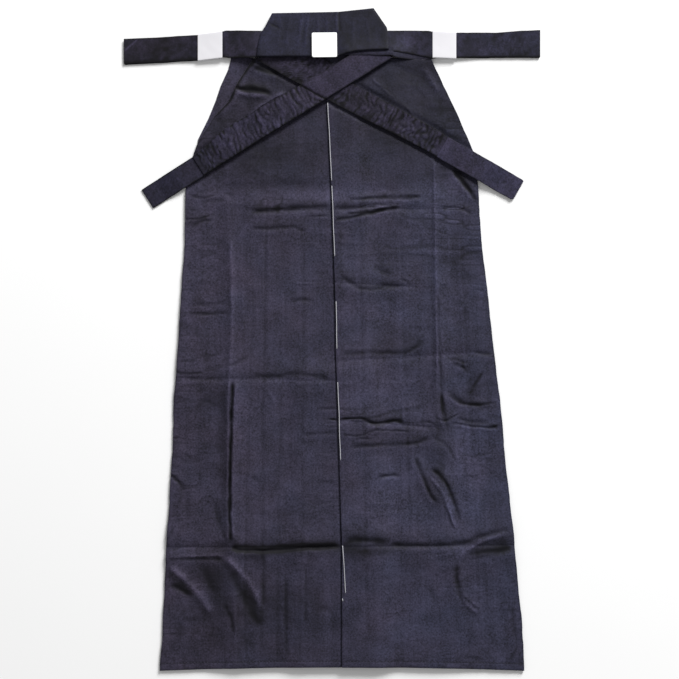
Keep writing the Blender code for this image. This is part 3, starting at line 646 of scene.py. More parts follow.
def hand_creases(x, y, strength):
    """Height and tone of the listed creases, uneven along their length."""
    height, tone = np.zeros(x.shape), np.zeros(x.shape)
    for k, crease in enumerate(CREASES):
        curve = curve_through(crease.places)
        reach = CREASE_REACH * crease.width
        low, high = curve.min(axis=0) - reach, curve.max(axis=0) + reach
        near = (x > low[0]) & (x < high[0]) & (y > low[1]) & (y < high[1])
        if not near.any():
            continue
        px = x[near] + CREASE_STRAY * wander(x[near], y[near], 9, k)
        py = y[near] + CREASE_STRAY * wander(x[near], y[near], 9, k + 40)
        aside, along, length = beside_curve(curve, px, py)
        taper = min(CREASE_TAPER, length / 2)
        fade = smooth(0, taper, along) * smooth(0, taper, length - along)
        fade = fade * (0.8 + 0.25 * wander(along, 0 * along, 14, k + 7))
        width = crease.width * (1 + 0.2 * wander(along, 0 * along, 19, k + 3))
        run = curve[-1] - curve[0]
        lit = (run[1] * LIGHT_FROM[0] - run[0] * LIGHT_FROM[1]) / np.hypot(*run)
        rise, shade = crease_profile(crease.kind, crease.height * strength, aside / width, lit)
        height[near] += CREASE_GAIN * rise * fade
        # painted shade in the grooves, painted highlights on the crests, and on each side painted light where
        # it faces the light, painted shade where it faces away
        tone[near] += shade * fade
    return height, tone


class Axis:
    """A straight tie's axis: places along it (s) and across it (t, positive towards the waist)."""

    def __init__(self, strap):
        self.x0, self.y0 = strap.x0, strap.y0
        self.length = math.hypot(strap.x1 - strap.x0, strap.y1 - strap.y0)
        self.dx = (strap.x1 - strap.x0) / self.length
        self.dy = (strap.y1 - strap.y0) / self.length
        self.up = 1 if self.dx > 0 else -1

    def place(self, s, t):
        """x and y of a place on the tie."""
        return self.x0 + self.dx * s - self.dy * t * self.up, self.y0 + self.dy * s + self.dx * t * self.up

    def local(self, x, y):
        """s and t of a place on the skirt."""
        s = (x - self.x0) * self.dx + (y - self.y0) * self.dy
        return s, ((y - self.y0) * self.dx - (x - self.x0) * self.dy) * self.up

    def turn(self):
        """Angle of the axis in the picture, for the grain of the cloth."""
        return math.atan2(self.dy, self.dx)


UNDER_AXIS, OVER_AXIS = Axis(UNDER_TIE), Axis(OVER_TIE)


def edges_between(first, last, s):
    """Both edges of a tie where they change from one width to another."""
    share = smooth(first.s, last.s, s)
    return first.low + (last.low - first.low) * share, first.high + (last.high - first.high) * share


def over_edges(s, level):
    """Lower and upper edge of the tie on top; level may lie between two layers."""
    low, high = edges_between(*OVER_TOP_EDGES, s)
    high = high - OVER_TIP_IN * smooth(*OVER_TIP_S, s)
    top = smooth(1.0, 2.0, level)
    base = OVER_LOW_EDGES
    return base.low + (low - base.low) * top, base.high + (high - base.high) * top


def under_edges(s, level):
    """Lower and upper edge of the tie below, with round corners at its end."""
    outer, above = UNDER_OUTER_EDGES, UNDER_TOP_EDGES
    tip = np.clip((s - UNDER_AXIS.length + TIP_ROUND) / (TIP_ROUND + 0.1), 0, 1)
    corner = 1 - np.sqrt(1 - tip * tip)
    low, high = edges_between(*UNDER_INNER_EDGES, s)
    share = smooth(UNDER_BEND - UNDER_NARROWS, UNDER_BEND, s)
    low, high = low + (outer.low - low) * share, high + (outer.high - high) * share
    top = smooth(1.0, 2.0, level)
    low, high = low + (above.low - low) * top, high + (above.high - high) * top
    high = high + ROOT_WIDENS * (1 - smooth(*ROOT_WIDENS_S, s)) - TIP_ROUND_HIGH * corner
    return low + TIP_ROUND_LOW * corner, high


def outside_ties(x, y):
    """0 under the front ties, 1 a little outside them."""
    free = np.ones(np.shape(x))
    for axis, edges in ((UNDER_AXIS, under_edges), (OVER_AXIS, over_edges)):
        s, t = axis.local(x, y)
        low, high = edges(s, 0)
        beyond = np.maximum(np.maximum(low - t, t - high), np.maximum(-s - 30, s - axis.length))
        free = np.minimum(free, smooth(2, 9, beyond))
    return free


def slack(x, y):
    """Soft unevenness of the cloth as it lies, longer lengthwise than across."""
    broad = 0.6 * wander(x, y * 0.6, 80, 1) + 0.5 * wander(x, y * 0.8, 33, 2)
    line = 1 - 2.6 * np.abs(wander(0.6 * x + 7 * wander(x, y, 26, 32), 1.5 * y, 24, 31))
    broad = broad + 0.55 * np.maximum(0, line) * smooth(-0.1, 0.6, wander(x, y, 70, 33))
    fine = 0.26 * wander(x + 0.3 * y, y - 0.3 * x, 15, 3) + 0.13 * wander(x - 0.4 * y, y + 0.4 * x, 7, 4)
    return broad + fine + 0.12 * wander(x, y * 0.08, 6, 12)


def crumples(x, y):
    """Small crosswise crumples in bands over the skirt: their height, and their tone with painted highlights
    on the crests and painted shade in the lines.
    """
    bands = sum(band.strength * bell(y - band.y, band.reach) * smooth(*band.start_x, x) for band in CRUMPLED)
    bands = bands + CRUMPLED_SIDES * smooth(*CRUMPLED_SIDES_X, np.abs(x))
    bands = bands * smooth(-0.5, 0.4, wander(x, y, 46, 37)) + CRUMPLED_LEAST
    field = wander(0.34 * x, 1.35 * y + 3 * wander(x, y, 40, 35), 11, 36)
    line = bell(field, 0.13)
    crest = bell(field - 0.3, 0.15)
    return (0.25 * crest - 0.45 * line) * bands, (0.7 * crest - 1.15 * line) * bands


def zone_tone(x, y):
    """How light the cloth is: its uneven tone, painted shade towards the waist, a pale band below that, and
    zones of painted light and shade.
    """
    total = 0.15 * wander(x, y, 40, 14) + 0.06 * wander(x, 0.1 * y, 11, 15)
    for shading in SHADINGS:
        total = total + shading.tone * smooth(*shading.up, y) * smooth(*shading.across, x)
    middle = 1 - smooth(*PALE_BAND_ENDS, np.abs(x))
    total = total + PALE_BAND * bell(y - PALE_BAND_Y, PALE_BAND_REACH, 4) * middle
    for zone in LIGHT_AND_SHADE_ZONES:
        u = (x + 4 * wander(x, y, 24, 16) - zone.x) / zone.reach_x
        v = (y + 5 * wander(x, y, 30, 17) - zone.y) / zone.reach_y
        total = total + zone.tone * np.exp(-0.7 * np.abs(u) ** 3 - 0.7 * np.abs(v) ** 3)
    return total


def back_top(x, y, strength=1.0):
    """Upper face of the back panels, plain under the ties, and its tone, with the painted light and shade of
    its creases, crumples and zones.
    """
    section = columns_at(SECTIONS, "y", y)
    share = share_of_width(x, section)
    lift = np.where(x > section.centre, 2 * PITCH * (1 - smooth(*OFF_CENTRE, share)), 0.0)
    free = outside_ties(x, y)
    rise, tone = hand_creases(x, y, strength)
    small, shade = crumples(x, y)
    rise, tone = rise + strength * small, tone + strength * shade
    fine = np.maximum(rise + 0.8 * slack(x, y), 0.1 - SWELL) * free
    top = under_back(x, y) + CLOTH + lift + broad_height(x, y) + SWELL * free + fine
    return top, tone + zone_tone(x, y)


def drape(axis, support, reach_across):
    """Underside of a stiff tie over what it crosses: a running maximum, smoothed by a running mean."""
    near = 4
    step = TIE_REACH / near
    places = np.arange(-4 * near, int(axis.length / step) + 2 * near) * step
    across = reach_across * np.arange(-3, 4) / 3
    s, t = np.meshgrid(places, across, indexing="ij")
    heights = support(*axis.place(s, t)).max(axis=1) + GAP
    count = len(heights)
    peaks = np.array([heights[max(0, i - near) : i + near + 1].max() for i in range(count)])
    soft = np.array([peaks[max(0, i - near) : i + near + 1].mean() for i in range(count)])
    return lambda s: np.interp(s, places, soft)


def on_skirt(x, y):
    """Upper face of the back where it lies, and just under the floor outside it."""
    section = columns_at(SECTIONS, "y", y)
    inside = (x > section.left) & (x < section.right)
    return np.where(inside, back_top(x, y)[0], -GAP)


def under_floor_heights():
    """Underside of the tie below, which lies on the skirt."""
    return drape(UNDER_AXIS, on_skirt, UNDER_HALF)


def over_floor_heights(under_floor):
    """Underside of the tie on top, which crosses the tie below."""
    length = UNDER_AXIS.length

    def support(x, y):
        s, t = UNDER_AXIS.local(x, y)
        low, high = under_edges(s, 1)
        beside = (low - TIE_CLEARANCE < t) & (t < high + TIE_CLEARANCE)
        along = (UNDER_SKEW[0] - TIE_CLEARANCE < s) & (s < length + TIE_CLEARANCE)
        levels = np.where(s > UNDER_BEND, 3, 2)
        return np.where(beside & along, under_floor(s) + levels * PITCH - GAP, on_skirt(x, y))

    return drape(OVER_AXIS, support, OVER_HALF)


def show(name, mesh, finish):
    """Puts a mesh into the scene as a piece of the part."""
    mesh.materials.clear()
    mesh.materials.append(finish)
    piece = bpy.data.objects.new(name, mesh)
    bpy.context.scene.collection.objects.link(piece)
    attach(piece, ROOT)
    return piece


def make_piece(name, places, faces, finish, tone=None):
    """A shown piece of the part from places in millimetres."""
    mesh = bpy.data.meshes.new(name)
    mesh.from_pydata((np.asarray(places) * MM).tolist(), [], faces)
    mesh.shade_smooth()
    if tone is not None:
        mesh.attributes.new("tone", "FLOAT", "POINT").data.foreach_set("value", np.ravel(tone))
    return show(name, mesh, finish)


def edge_round(beyond, thickness):
    """Thickness of a wall that ends in a round edge, by the distance inside that edge."""
    radius = thickness / 2
    inside = np.clip(beyond, 0, radius)
    return 2 * np.sqrt(np.maximum(0.0, radius**2 - (radius - inside) ** 2))


def to_edge(stops):
    """Distance of stops from the nearer end of their range."""
    return np.minimum(stops - stops[0], stops[-1] - stops)


def rounded(along, across, thickness):
    """Thickness over a grid of stops of a wall that is round all along its border."""
    return edge_round(np.minimum(to_edge(along)[:, None], to_edge(across)[None, :]), thickness)


def quads(grid):
    """Faces over a grid of place numbers."""
    corners = (grid[:-1, :-1], grid[1:, :-1], grid[1:, 1:], grid[:-1, 1:])
    return np.stack(corners, axis=-1).reshape(-1, 4)


def closed_wall(centre, thickness):
    """Places and faces of a wall round a grid of places; its thickness is 0 along the border."""
    rows, columns = thickness.shape
    along, across = np.gradient(centre, axis=0), np.gradient(centre, axis=1)
    normal = np.cross(along, across)
    normal /= np.linalg.norm(normal, axis=2, keepdims=True)
    half = normal * thickness[..., None] / 2
    index = np.arange(rows * columns).reshape(rows, columns)
    below = index.copy()
    inner = (rows - 2) * (columns - 2)
    below[1:-1, 1:-1] = rows * columns + np.arange(inner).reshape(rows - 2, columns - 2)
    places = np.vstack([(centre + half).reshape(-1, 3), (centre - half)[1:-1, 1:-1].reshape(-1, 3)])
    return places, np.vstack([quads(index), quads(below)[:, ::-1]])


def wall_piece(name, grid, thickness, finish, tone=None):
    """A shown piece that is a wall round a grid of x, y and z, with its tone on both faces."""
    places, faces = closed_wall(np.stack(grid, axis=-1), thickness)
    tones = None if tone is None else np.concatenate([tone.ravel(), tone[1:-1, 1:-1].ravel()])
    return make_piece(name, places, faces.tolist(), finish, tones)


def to_border(length, step, thickness):
    """Stops over a length, close together near its ends, where the wall's edge is round."""
    radius = thickness / 2
    close = np.array([0.0, 0.06, 0.25, 0.6, 1.0]) * radius
    count = max(2, int((length - 2 * radius) / step))
    middle = np.linspace(radius, length - radius, count + 1)[1:-1]
    return np.concatenate([close, middle, length - close[::-1]])


def folded_path(runs, step):
    """A tie's line in its lengthwise section: s, z, level, for runs that each lie on the one before."""
    path = []
    for k, (start, end, level) in enumerate(runs):
        way = 1 if end > start else -1
        stops = np.arange(0, abs(end - start), step) * way + start
        if k == 0:
            stops = start + way * to_border(abs(end - start), step, CLOTH)
        if k == len(runs) - 1:
            stops = end - way * to_border(abs(end - start), step, CLOTH)[::-1]
        height = CLOTH / 2 + level * PITCH
        path += [(s, height, level) for s in stops]
        if k < len(runs) - 1:
            for angle in np.linspace(0, math.pi, 7)[(0 if stops[-1] != end else 1) : -1]:
                rise = PITCH / 2 * (1 - math.cos(angle))
                path.append((end + way * PITCH / 2 * math.sin(angle), height + rise, level + rise / PITCH))
    return np.array(path)


def walked_along(path):
    """How far along a folded path each of its places lies."""
    return np.concatenate([[0], np.cumsum(np.hypot(*np.diff(path[:, :2], axis=0).T))])


def edge_shade(stops):
    """Painted shade along both edges of a tie."""
    return EDGE_SHADE * (1 - smooth(*EDGE_SHADE_REACH, to_edge(stops)))[None, :]


def panel_shares(side):
    """Shares of width from the side to the centre, closer together over the lengthwise creases."""
    low, high = CLOSE_SHARES[side]
    shares, at = [], 1.0 - SIDE_START / PANEL_WIDTH
    while at > LEAST_SHARE:
        shares.append(at)
        close = low < at < high or at < NEAR_CENTRE or at > NEAR_SIDE
        at -= (CLOSE_STEP if close else COLUMN_STEP) / PANEL_WIDTH
    return np.array(shares)


def panel_rows():
    """Heights on the skirt from the waist down, closer together over the crosswise creases."""
    rows, at = [], float(SECTIONS[-1].y)
    while at > HEM_Y:
        rows.append(at)
        at -= CLOSE_STEP if any(low < at < high for low, high in CLOSE_ROWS) else ROW_STEP
    return np.array([*rows, HEM_Y])


def turned_edge(x, z, way, width):
    """Places of an edge that rolls down and in: its underside first, then round to the top."""
    angles = np.radians([270, 225, 180, 135, 100])
    xs = [x + way * width, x + way * (ROLL + 0.6)]
    zs = [z - 2 * ROLL, z - 2 * ROLL]
    for angle in angles:
        xs.append(x + way * (ROLL + ROLL * np.cos(angle)))
        zs.append(z - ROLL + ROLL * np.sin(angle))
    return xs, zs


def bowed(y, share):
    """The hem and the rows near it hang lower towards the sides."""
    near_hem = np.maximum(0.0, 1 - (y - HEM_Y) / HEM_BOW_REACH)
    return y - HEM_BOW * share**2 * near_hem**2


def hem_height(y):
    """The doubled cloth of the hem, and the groove of its stitching."""
    up = y - HEM_Y
    return 0.5 * (1 - smooth(HEM_STITCH, HEM_STITCH + 1.6, up)) - 0.7 * bell(up - HEM_STITCH, 1.2)


def open_side(y, from_side, top, tone):
    """The left panel's side lifts near the waist, with a painted shadow line at it and a painted highlight
    beside that.
    """
    lifted = smooth(*SLIT_Y, y) * np.exp(-from_side / 9)
    dark = smooth(*SLIT_SHADOW_Y, y)
    tone = tone - 1.6 * dark * bell(from_side, 3.4)
    return top + 1.6 * lifted, tone + 0.6 * dark * bell(from_side - 9.5, 4.0)


def centre_columns(side, section, rows, last):
    """A panel's columns at the centre: the left one goes on below, and the right one turns back under."""
    if side < 0:
        shares = np.linspace(0, UNDERLAP, 7)
        xs = [section.centre + (section.right - section.centre) * share for share in shares]
        # the left panel's underlap takes painted shade
        return xs, [np.minimum(last, under_back(x, rows) + CLOTH + GAP) for x in xs], UNDERLAP_SHADE
    centre = section.centre + 0.25 * wander(rows, 0 * rows, 40, 21)
    angles = np.radians([95, 130, 180, 230, 268])
    xs = [centre + ROLL + ROLL * np.cos(angle) for angle in angles]
    zs = [last - ROLL + ROLL * np.sin(angle) for angle in angles]
    return [*xs, centre + FOLD_BACK], [*zs, last - 2 * ROLL], 0.0


def panel_grid(side, strength):
    """Places and tones of a back panel's sheet, from the waist to the hem and under it."""
    rows = panel_rows()
    section = columns_at(SECTIONS, "y", rows)
    edge = section.back_left if side < 0 else section.back_right
    edge = edge + 0.7 * wander(rows, 0 * rows, 34, 8 + side) + 0.3 * wander(rows, 0 * rows, 9, 11 + side)
    y = rows[:, None]
    x = section.centre[:, None] + (edge - section.centre)[:, None] * panel_shares(side)[None, :]
    top, tone = back_top(x, y + 0 * x, strength)
    top = top + hem_height(y)
    from_side = np.abs(x - edge[:, None])
    # painted shade along the hem's stitching, along the hem and along the side
    tone = tone - STITCH_SHADE * bell(y - HEM_Y - HEM_STITCH, 1.3)
    tone = tone - HEM_SHADE * (1 - smooth(0.5, 2.5, y - HEM_Y))
    tone = tone - SIDE_SHADE * (1 - smooth(0.5, 3.0, from_side))
    if side < 0:
        top, tone = open_side(y, from_side, top, tone)
    side_x, side_z = turned_edge(edge, top[:, 0], -side, SIDE_TURN)
    centre_x, centre_z, centre_tone = centre_columns(side, section, rows, top[:, -1])
    grid_x = np.column_stack([*side_x, x, *centre_x])
    tones = np.pad(tone, ((0, 0), (len(side_x), len(centre_x))))
    tones[:, -len(centre_x) :] = centre_tone
    share = np.clip(share_of_width(grid_x, Section(*[column[:, None] for column in section])), 0, 1)
    places = np.stack([grid_x, bowed(y, share), np.column_stack([*side_z, top, *centre_z])], axis=-1)
    round_hem = [(0, -ROLL * math.sin(a), -ROLL * (1 - math.cos(a))) for a in np.radians([35, 80, 130, 175])]
    hem = [places[-1] + off for off in round_hem]
    hem.append(hem[-1] + (0, HEM_TURN, 0))
    return np.concatenate([places, np.array(hem)]), np.pad(tones, ((0, len(hem)), (0, 0)))


def back_panel(name, side, strength, finish):
    """A back panel's sheet, its faces looking up on either side of the centre."""
    places, tones = panel_grid(side, strength)
    faces = quads(np.arange(tones.size).reshape(tones.shape))
    faces = faces[:, (0, 3, 2, 1) if side > 0 else (1, 2, 3, 0)]
    return make_piece(name, places.reshape(-1, 3), faces.tolist(), finish, tones)


def refine(node, name, finish, lift, step):
    """A finer copy of a frame node in the same place, with soft unevenness."""
    mesh = bmesh.new()
    mesh.from_mesh(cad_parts[node].data)
    bmesh.ops.remove_doubles(mesh, verts=mesh.verts, dist=1e-6)
    bmesh.ops.dissolve_limit(mesh, angle_limit=0.001, verts=mesh.verts, edges=mesh.edges)
    low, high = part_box(node)
    for axis in (0, 1):
        for at in np.arange(low[axis] / MM + step, high[axis] / MM, step):
            where, way = [0, 0, 0], [0, 0, 0]
            where[axis], way[axis] = at * MM, 1
            parts = mesh.verts[:] + mesh.edges[:] + mesh.faces[:]
            bmesh.ops.bisect_plane(mesh, geom=parts, plane_co=where, plane_no=way)
    for vertex in mesh.verts:
        vertex.co.z += lift(vertex.co.x / MM, vertex.co.y / MM) * MM
    data = bpy.data.meshes.new(name)
    mesh.to_mesh(data)
    mesh.free()
    data.shade_smooth()
    data.set_sharp_from_angle(angle=math.radians(40))
    piece = show(name, data, finish)
    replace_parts(piece, node)
    return piece


def crimp(s, t, first, last, pitch, seed):
    """Gathered ridges across a tie between two stops: how near to a crest, from 0 to 1, and how strong."""
    lean = 0.14 * t + 3.0 * wander(s, t, 24, seed) + 5.0 * wander(s * 0.5, t, 10, seed + 3)
    phase = (s + lean) / pitch + 0.45 * wander(s, 0 * s, 15, seed + 1)
    crest = np.abs(np.sin(math.pi * phase)) ** 0.75
    cells = wander(s + lean, 0.5 * t + 4 * wander(s, t, 12, seed + 5), 0.42 * pitch, seed + 6)
    crest = np.clip(0.68 * crest + 0.17 + 0.42 * cells, 0, 1)
    size = smooth(first, first + 7, s) * (1 - smooth(last - 5, last, s))
    size = size * (0.45 + 0.3 * wander(s, t, 16, seed + 2) + 1.3 * np.abs(wander(s * 0.9, t, 9, seed + 4)))
    return crest, size


class Shade:
    """A number in a material's node tree, so that shader maths reads like plain maths."""

    def __init__(self, finish, socket):
        self.finish, self.socket = finish, socket

    def __add__(self, other):
        return self.finish.maths("ADD", self, other)

    def __sub__(self, other):
        return self.finish.maths("SUBTRACT", self, other)

    def __mul__(self, other):
        return self.finish.maths("MULTIPLY", self, other)

    def __rsub__(self, other):
        return self.finish.maths("SUBTRACT", other, self)

    __radd__, __rmul__ = __add__, __mul__

    def sine(self):
        return self.finish.maths("SINE", self, 0.0)

    def at_least(self, least):
        return self.finish.maths("MAXIMUM", self, least)

    def held_in(self):
        """Kept between 0 and 1."""
        kept = self.finish.maths("ADD", self, 0.0)
        kept.socket.node.use_clamp = True
        return kept


class Finish:
    """A material built one node at a time on its Principled shader."""

    def __init__(self, name):
        self.material = bpy.data.materials.new(name)
        self.material.use_nodes = True
        self.tree = self.material.node_tree
        self.shader = self.tree.nodes["Principled BSDF"]

    def plug(self, socket, value):
        """Gives a socket its value, or links it to another socket."""
        value = value.socket if isinstance(value, Shade) else value
        if isinstance(value, bpy.types.NodeSocket):
            self.tree.links.new(value, socket)
        else:
            socket.default_value = value

    def node(self, kind, settings=None, values=None):
        """A new node of a kind, with its settings and with values or links on its sockets."""
        made = self.tree.nodes.new(kind)
        for key, value in (settings or {}).items():
            setattr(made, key, value)
        for key, value in (values or {}).items():
            self.plug(made.inputs[key], value)
        return made

    def maths(self, operation, first, second):
        made = self.node("ShaderNodeMath", {"operation": operation}, {0: first, 1: second})
        return Shade(self, made.outputs[0])

    def mix(self, factor, first, second):
        """A colour between two colours."""
        values = {"Factor": factor, "A": first, "B": second}
        made = self.node("ShaderNodeMix", {"data_type": "RGBA"})
        for socket in made.inputs:
            if socket.enabled and socket.name in values:
                self.plug(socket, values[socket.name])
        return next(socket for socket in made.outputs if socket.enabled)

    def set(self, **values):
        """Sockets of the Principled shader, with spaces written as underscores."""
        for key, value in values.items():
            self.plug(self.shader.inputs[key.replace("_", " ")], value)

    def place(self, turn=0.0):
        """Places on the piece in millimetres, turned by an angle."""
        object_place = self.node("ShaderNodeTexCoord").outputs["Object"]
        values = {"Vector": object_place, "Rotation": (0, 0, -turn), "Scale": (1000, 1000, 1000)}
        return self.node("ShaderNodeMapping", None, values).outputs["Vector"]

    def stretched(self, place, factors):
        """Places with each axis multiplied by a factor."""
        return self.node("ShaderNodeVectorMath", {"operation": "MULTIPLY"}, {0: place, 1: factors}).outputs[0]

    def noise(self, place, size, detail=2.0):
        """Uneven values between 0 and 1 that change over about size millimetres."""
        values = {"Vector": place, "Scale": 1 / size, "Detail": detail, "Roughness": 0.55}
        return Shade(self, self.node("ShaderNodeTexNoise", None, values).outputs[0])

    def scaled(self, colour, factor):
        """A colour made darker or lighter."""
        values = {0: colour, "Scale": factor}
        return self.node("ShaderNodeVectorMath", {"operation": "SCALE"}, values).outputs[0]

    def bump(self, height, distance, strength=1.0):
        """Fine relief of the surface; distance is its full height in metres."""
        values = {"Height": height, "Distance": distance, "Strength": strength}
        self.set(Normal=self.node("ShaderNodeBump", None, values).outputs["Normal"])


def opaque(colour):
    """A colour that lets nothing through."""
    return (*(float(c) for c in colour[:3]), 1.0)


def cloth_finish(name, colour, turn=0.0, weave=1.0):
    """Firm cloth with a fine twill line and soft fuzz, made lighter and darker by the tone attribute, which
    carries painted light and shade.
    """
    finish = Finish(name)
    base = np.array(colour[:3])
    place = finish.place(turn)
    parts = finish.node("ShaderNodeSeparateXYZ", None, {"Vector": place})
    across, along = Shade(finish, parts.outputs["X"]), Shade(finish, parts.outputs["Y"])
    drift = finish.noise(place, 6.0) * 0.5
    twill = ((across * 0.8 + along * 1.2 + drift) * (2 * math.pi / TWILL_PITCH)).sine()
    thread = (across * (2 * math.pi / THREAD_PITCH) + finish.noise(place, 3.0) * 2.0).sine()
    fields, light = {}, TWILL_SHARE * weave * twill
    for kind, grain in GRAINS.items():
        where = finish.stretched(place, SLUB) if grain.slubbed else place
        fields[kind] = finish.noise(where, grain.size, grain.detail)
        light = light + grain.share * (fields[kind] - 0.5)
    # the tone attribute carries painted light and shade besides the cloth's own uneven tone
    tone = Shade(finish, finish.node("ShaderNodeAttribute", {"attribute_name": "tone"}).outputs["Fac"])
    light = (MIDDLE + TONE_GAIN * tone).at_least(LEAST_LIGHT) * (1.0 + light)
    warmth = (1.3 * finish.noise(place, 60.0, 2.0) - 0.15 - WARMTH_SLOPE * across).held_in()
    cast = finish.mix(warmth, opaque(base * COOL), opaque(base * WARM))
    deep, pale = finish.scaled(cast, DARK_SHARE), finish.scaled(cast, LIGHT_SHARE)
    finish.set(Base_Color=finish.mix(light.held_in(), deep, pale))
    finish.set(Roughness=(0.66 + 0.22 * (fields["fuzz"] - 0.5)), Sheen_Weight=0.05, Sheen_Roughness=0.45)
    finish.set(Specular_IOR_Level=0.16)
    relief = 0.35 * twill + 0.15 * thread + 1.1 * fields["fuzz"] + 0.8 * fields["speckle"]
    finish.bump(relief, 0.00011, weave)
    return finish.material


def paper_finish(name, colour):
    """Soft white paper with a few fibres."""
    finish = Finish(name)
    place = finish.place(0.3)
    fibre = finish.noise(finish.stretched(place, (1.0, 0.12, 1.0)), 1.6, 3.0)
    cloud = finish.noise(place, 14.0)
    light = (0.5 + 0.5 * (fibre - 0.5) + 0.5 * (cloud - 0.5)).held_in()
    dull = opaque([c * 0.95 for c in colour])
    finish.set(Base_Color=finish.mix(light, dull, opaque(colour)), Roughness=0.75, Specular_IOR_Level=0.3)
    finish.bump(fibre + 0.6 * cloud, 0.00006)
    return finish.material


def thread_finish(name, colour):
    """Twisted cotton thread."""
    finish = Finish(name)
    place = finish.place(0.7)
    parts = finish.node("ShaderNodeSeparateXYZ", None, {"Vector": place})
    twist = ((Shade(finish, parts.outputs["X"]) + Shade(finish, parts.outputs["Y"])) * TWIST).sine()
    light = (0.55 + 0.3 * twist).held_in()
    dull = opaque([c * 0.72 for c in colour])
    finish.set(Base_Color=finish.mix(light, dull, opaque(colour)), Roughness=0.8)
    finish.bump(twist, 0.00008)
    return finish.material


def floor_finish(name, colour):
    """A plain pale floor, not quite even."""
    finish = Finish(name)
    cloud = finish.noise(finish.place(), 300.0)
    dull = opaque([c * 0.985 for c in colour])
    finish.set(Base_Color=finish.mix(cloud, dull, opaque(colour)), Roughness=0.9, Specular_IOR_Level=0.0)
    return finish.material


def over_relief(strength, pitch):
    """Smooth under the board, gathered below the crossing, and a step where the gathers take painted shade;
    painted light on the crests, painted shade in the valleys, along the fold, beside the lower edge and on
    the lower layers.
    """

    def relief(s, t, level):
        top = smooth(1.5, 2.0, level)
        crest, size = crimp(s, t, *OVER_GATHERED, pitch, 61)
        beyond = -UNDER_CROSS_LOW - UNDER_AXIS.local(*OVER_AXIS.place(s, t))[1]
        below = smooth(0.5, 4, beyond)
        drop = CROSSING_DROP * smooth(-0.5, 2.5, beyond) * (1 - smooth(8, 34, beyond))
        size = size * below
        first, last = OVER_FOLD_S
        fold = bell(beyond - 1.5, 2.0) * smooth(*first, s) * (1 - smooth(*last, s))
        dim = smooth(OVER_SHADE_S - 2, OVER_SHADE_S + 2, s)
        rise = strength * crest * size - 0.5 * fold - 0.4 * dim * (1 - smooth(320, 330, s))
        soft = uneven(s, t, (0.3, 30, 64), (0.22, 9, 65), (0.14, 4.5, 66))
        rough = 0.5 * wander(s * 1.6, t, 8, 67) + 0.45 * wander(s * 1.4, t, 4, 68)
        tone = size * (3.0 * crest - 2.0) - 1.7 * fold - 0.75 * dim + rough * (0.4 + 0.5 * size)
        tone = tone - 0.4 * bell(t - OVER_HEM_T, 2.4) + 0.5 * (1 - below) - 0.6 * fold
        return (rise + soft * 0.7 + 0.3) * top - drop, tone * top + (0.6 * rough - 0.35) * (1 - top)

    return relief


def under_relief(strength, pitch):
    """Gathered below the crossing, and smooth on its outer layer; painted light on the crests of the gathers
    and on the outer layer, painted shade in their valleys, before the outer layer and beside the lower edge.
    """

    def relief(s, t, level):
        middle = smooth(0.5, 1.0, level) * (1 - smooth(1.0, 1.5, level))
        top = smooth(1.5, 2.0, level)
        first, first_size = crimp(s, t, *UNDER_GATHERED[0], pitch * 0.9, 71)
        second, second_size = crimp(s, t, *UNDER_GATHERED[1], pitch, 75)
        rise = strength * (0.9 * first * first_size + second * second_size)
        tone = first_size * (2.8 * first - 1.9) + second_size * (2.6 * second - 1.9)
        dim = 0.7 * smooth(*UNDER_SHADE_S, s) * (0.8 + 0.5 * wander(s, t, 20, 70))
        soft = uneven(s, t, (0.2, 26, 77), (0.18, 8, 78), (0.12, 4.5, 79))
        edge = bell(t - UNDER_HEM_T, 3.2)
        rough = 0.5 * wander(s * 1.6, t, 8, 80) + 0.45 * wander(s * 1.4, t, 4, 69)
        rise, tone = rise - 0.3 * edge * middle, tone - 0.75 * dim - 0.6 * edge + 0.9 * rough
        return (rise + soft) * middle + soft * top * 1.3, (tone - 0.15) * middle + (0.65 + 0.8 * rough) * top

    return relief


def front_tie(name, axis, runs, floor, edges, skew, relief, finish):
    """A front tie in its folded runs, lying on its floor; skew slants its inner end."""
    path = folded_path(runs, FRONT_TIE_STEPS[0])
    s, z, level = (column[:, None] for column in path.T)
    low, high = edges(s, level)
    widest = float(np.max(high - low))
    stops = to_border(widest, FRONT_TIE_STEPS[1], CLOTH)
    share = (stops / widest)[None, :]
    s = s + (skew[0] + (skew[1] - skew[0]) * share) * np.maximum(0, 1 - s / SKEW_REACH)
    t = low + (high - low) * share
    t = t + 0.5 * wander(s, level * 9, 16, 5) * np.sin(math.pi * share) ** 0.3
    t = t + 0.6 * (share - 0.5) * wander(s, level * 7, 11, 6)
    rise, tone = relief(s, t, level)
    grid = (*axis.place(s, t), z + floor(s) + rise)
    thickness = rounded(walked_along(path), stops, CLOTH)
    return wall_piece(name, grid, thickness, finish, tone - edge_shade(stops))


def run_length(runs):
    """Length of cloth in a tie's folded runs."""
    return sum(abs(end - start) for start, end, _ in runs)


def back_tie_floor(x):
    """Underside of a back tie, which comes down from the waistband to the floor."""
    return BACK_TIE_Z * (1 - smooth(*TIE_DROP, np.abs(x)))


def beside_board_rise(x, y):
    """The back ties are sewn to the board, so they rise to its underside beside it."""
    side = np.where(x < 0, *BOARD_SIDES)
    near = 1 - np.where(x < 0, smooth(*LEFT_SEWN, -x), smooth(*RIGHT_SEWN, x))
    folded = 2 * PITCH + CLOTH + 0.5
    return near * np.maximum(0, board_underside(side, y) - folded - BACK_TIE_Z)


def back_tie_runs(table, root):
    """The layers of a back tie: out, back to just under the board, and out to its tip."""
    bend, tip = table[0].x, table[-1].x
    side = 1 if tip > 0 else -1
    turn = tip - side * 2.0
    inner = bend + side * CLOTH / 2
    return (root, turn, 0), (turn, inner, 1), (inner, tip, 2)


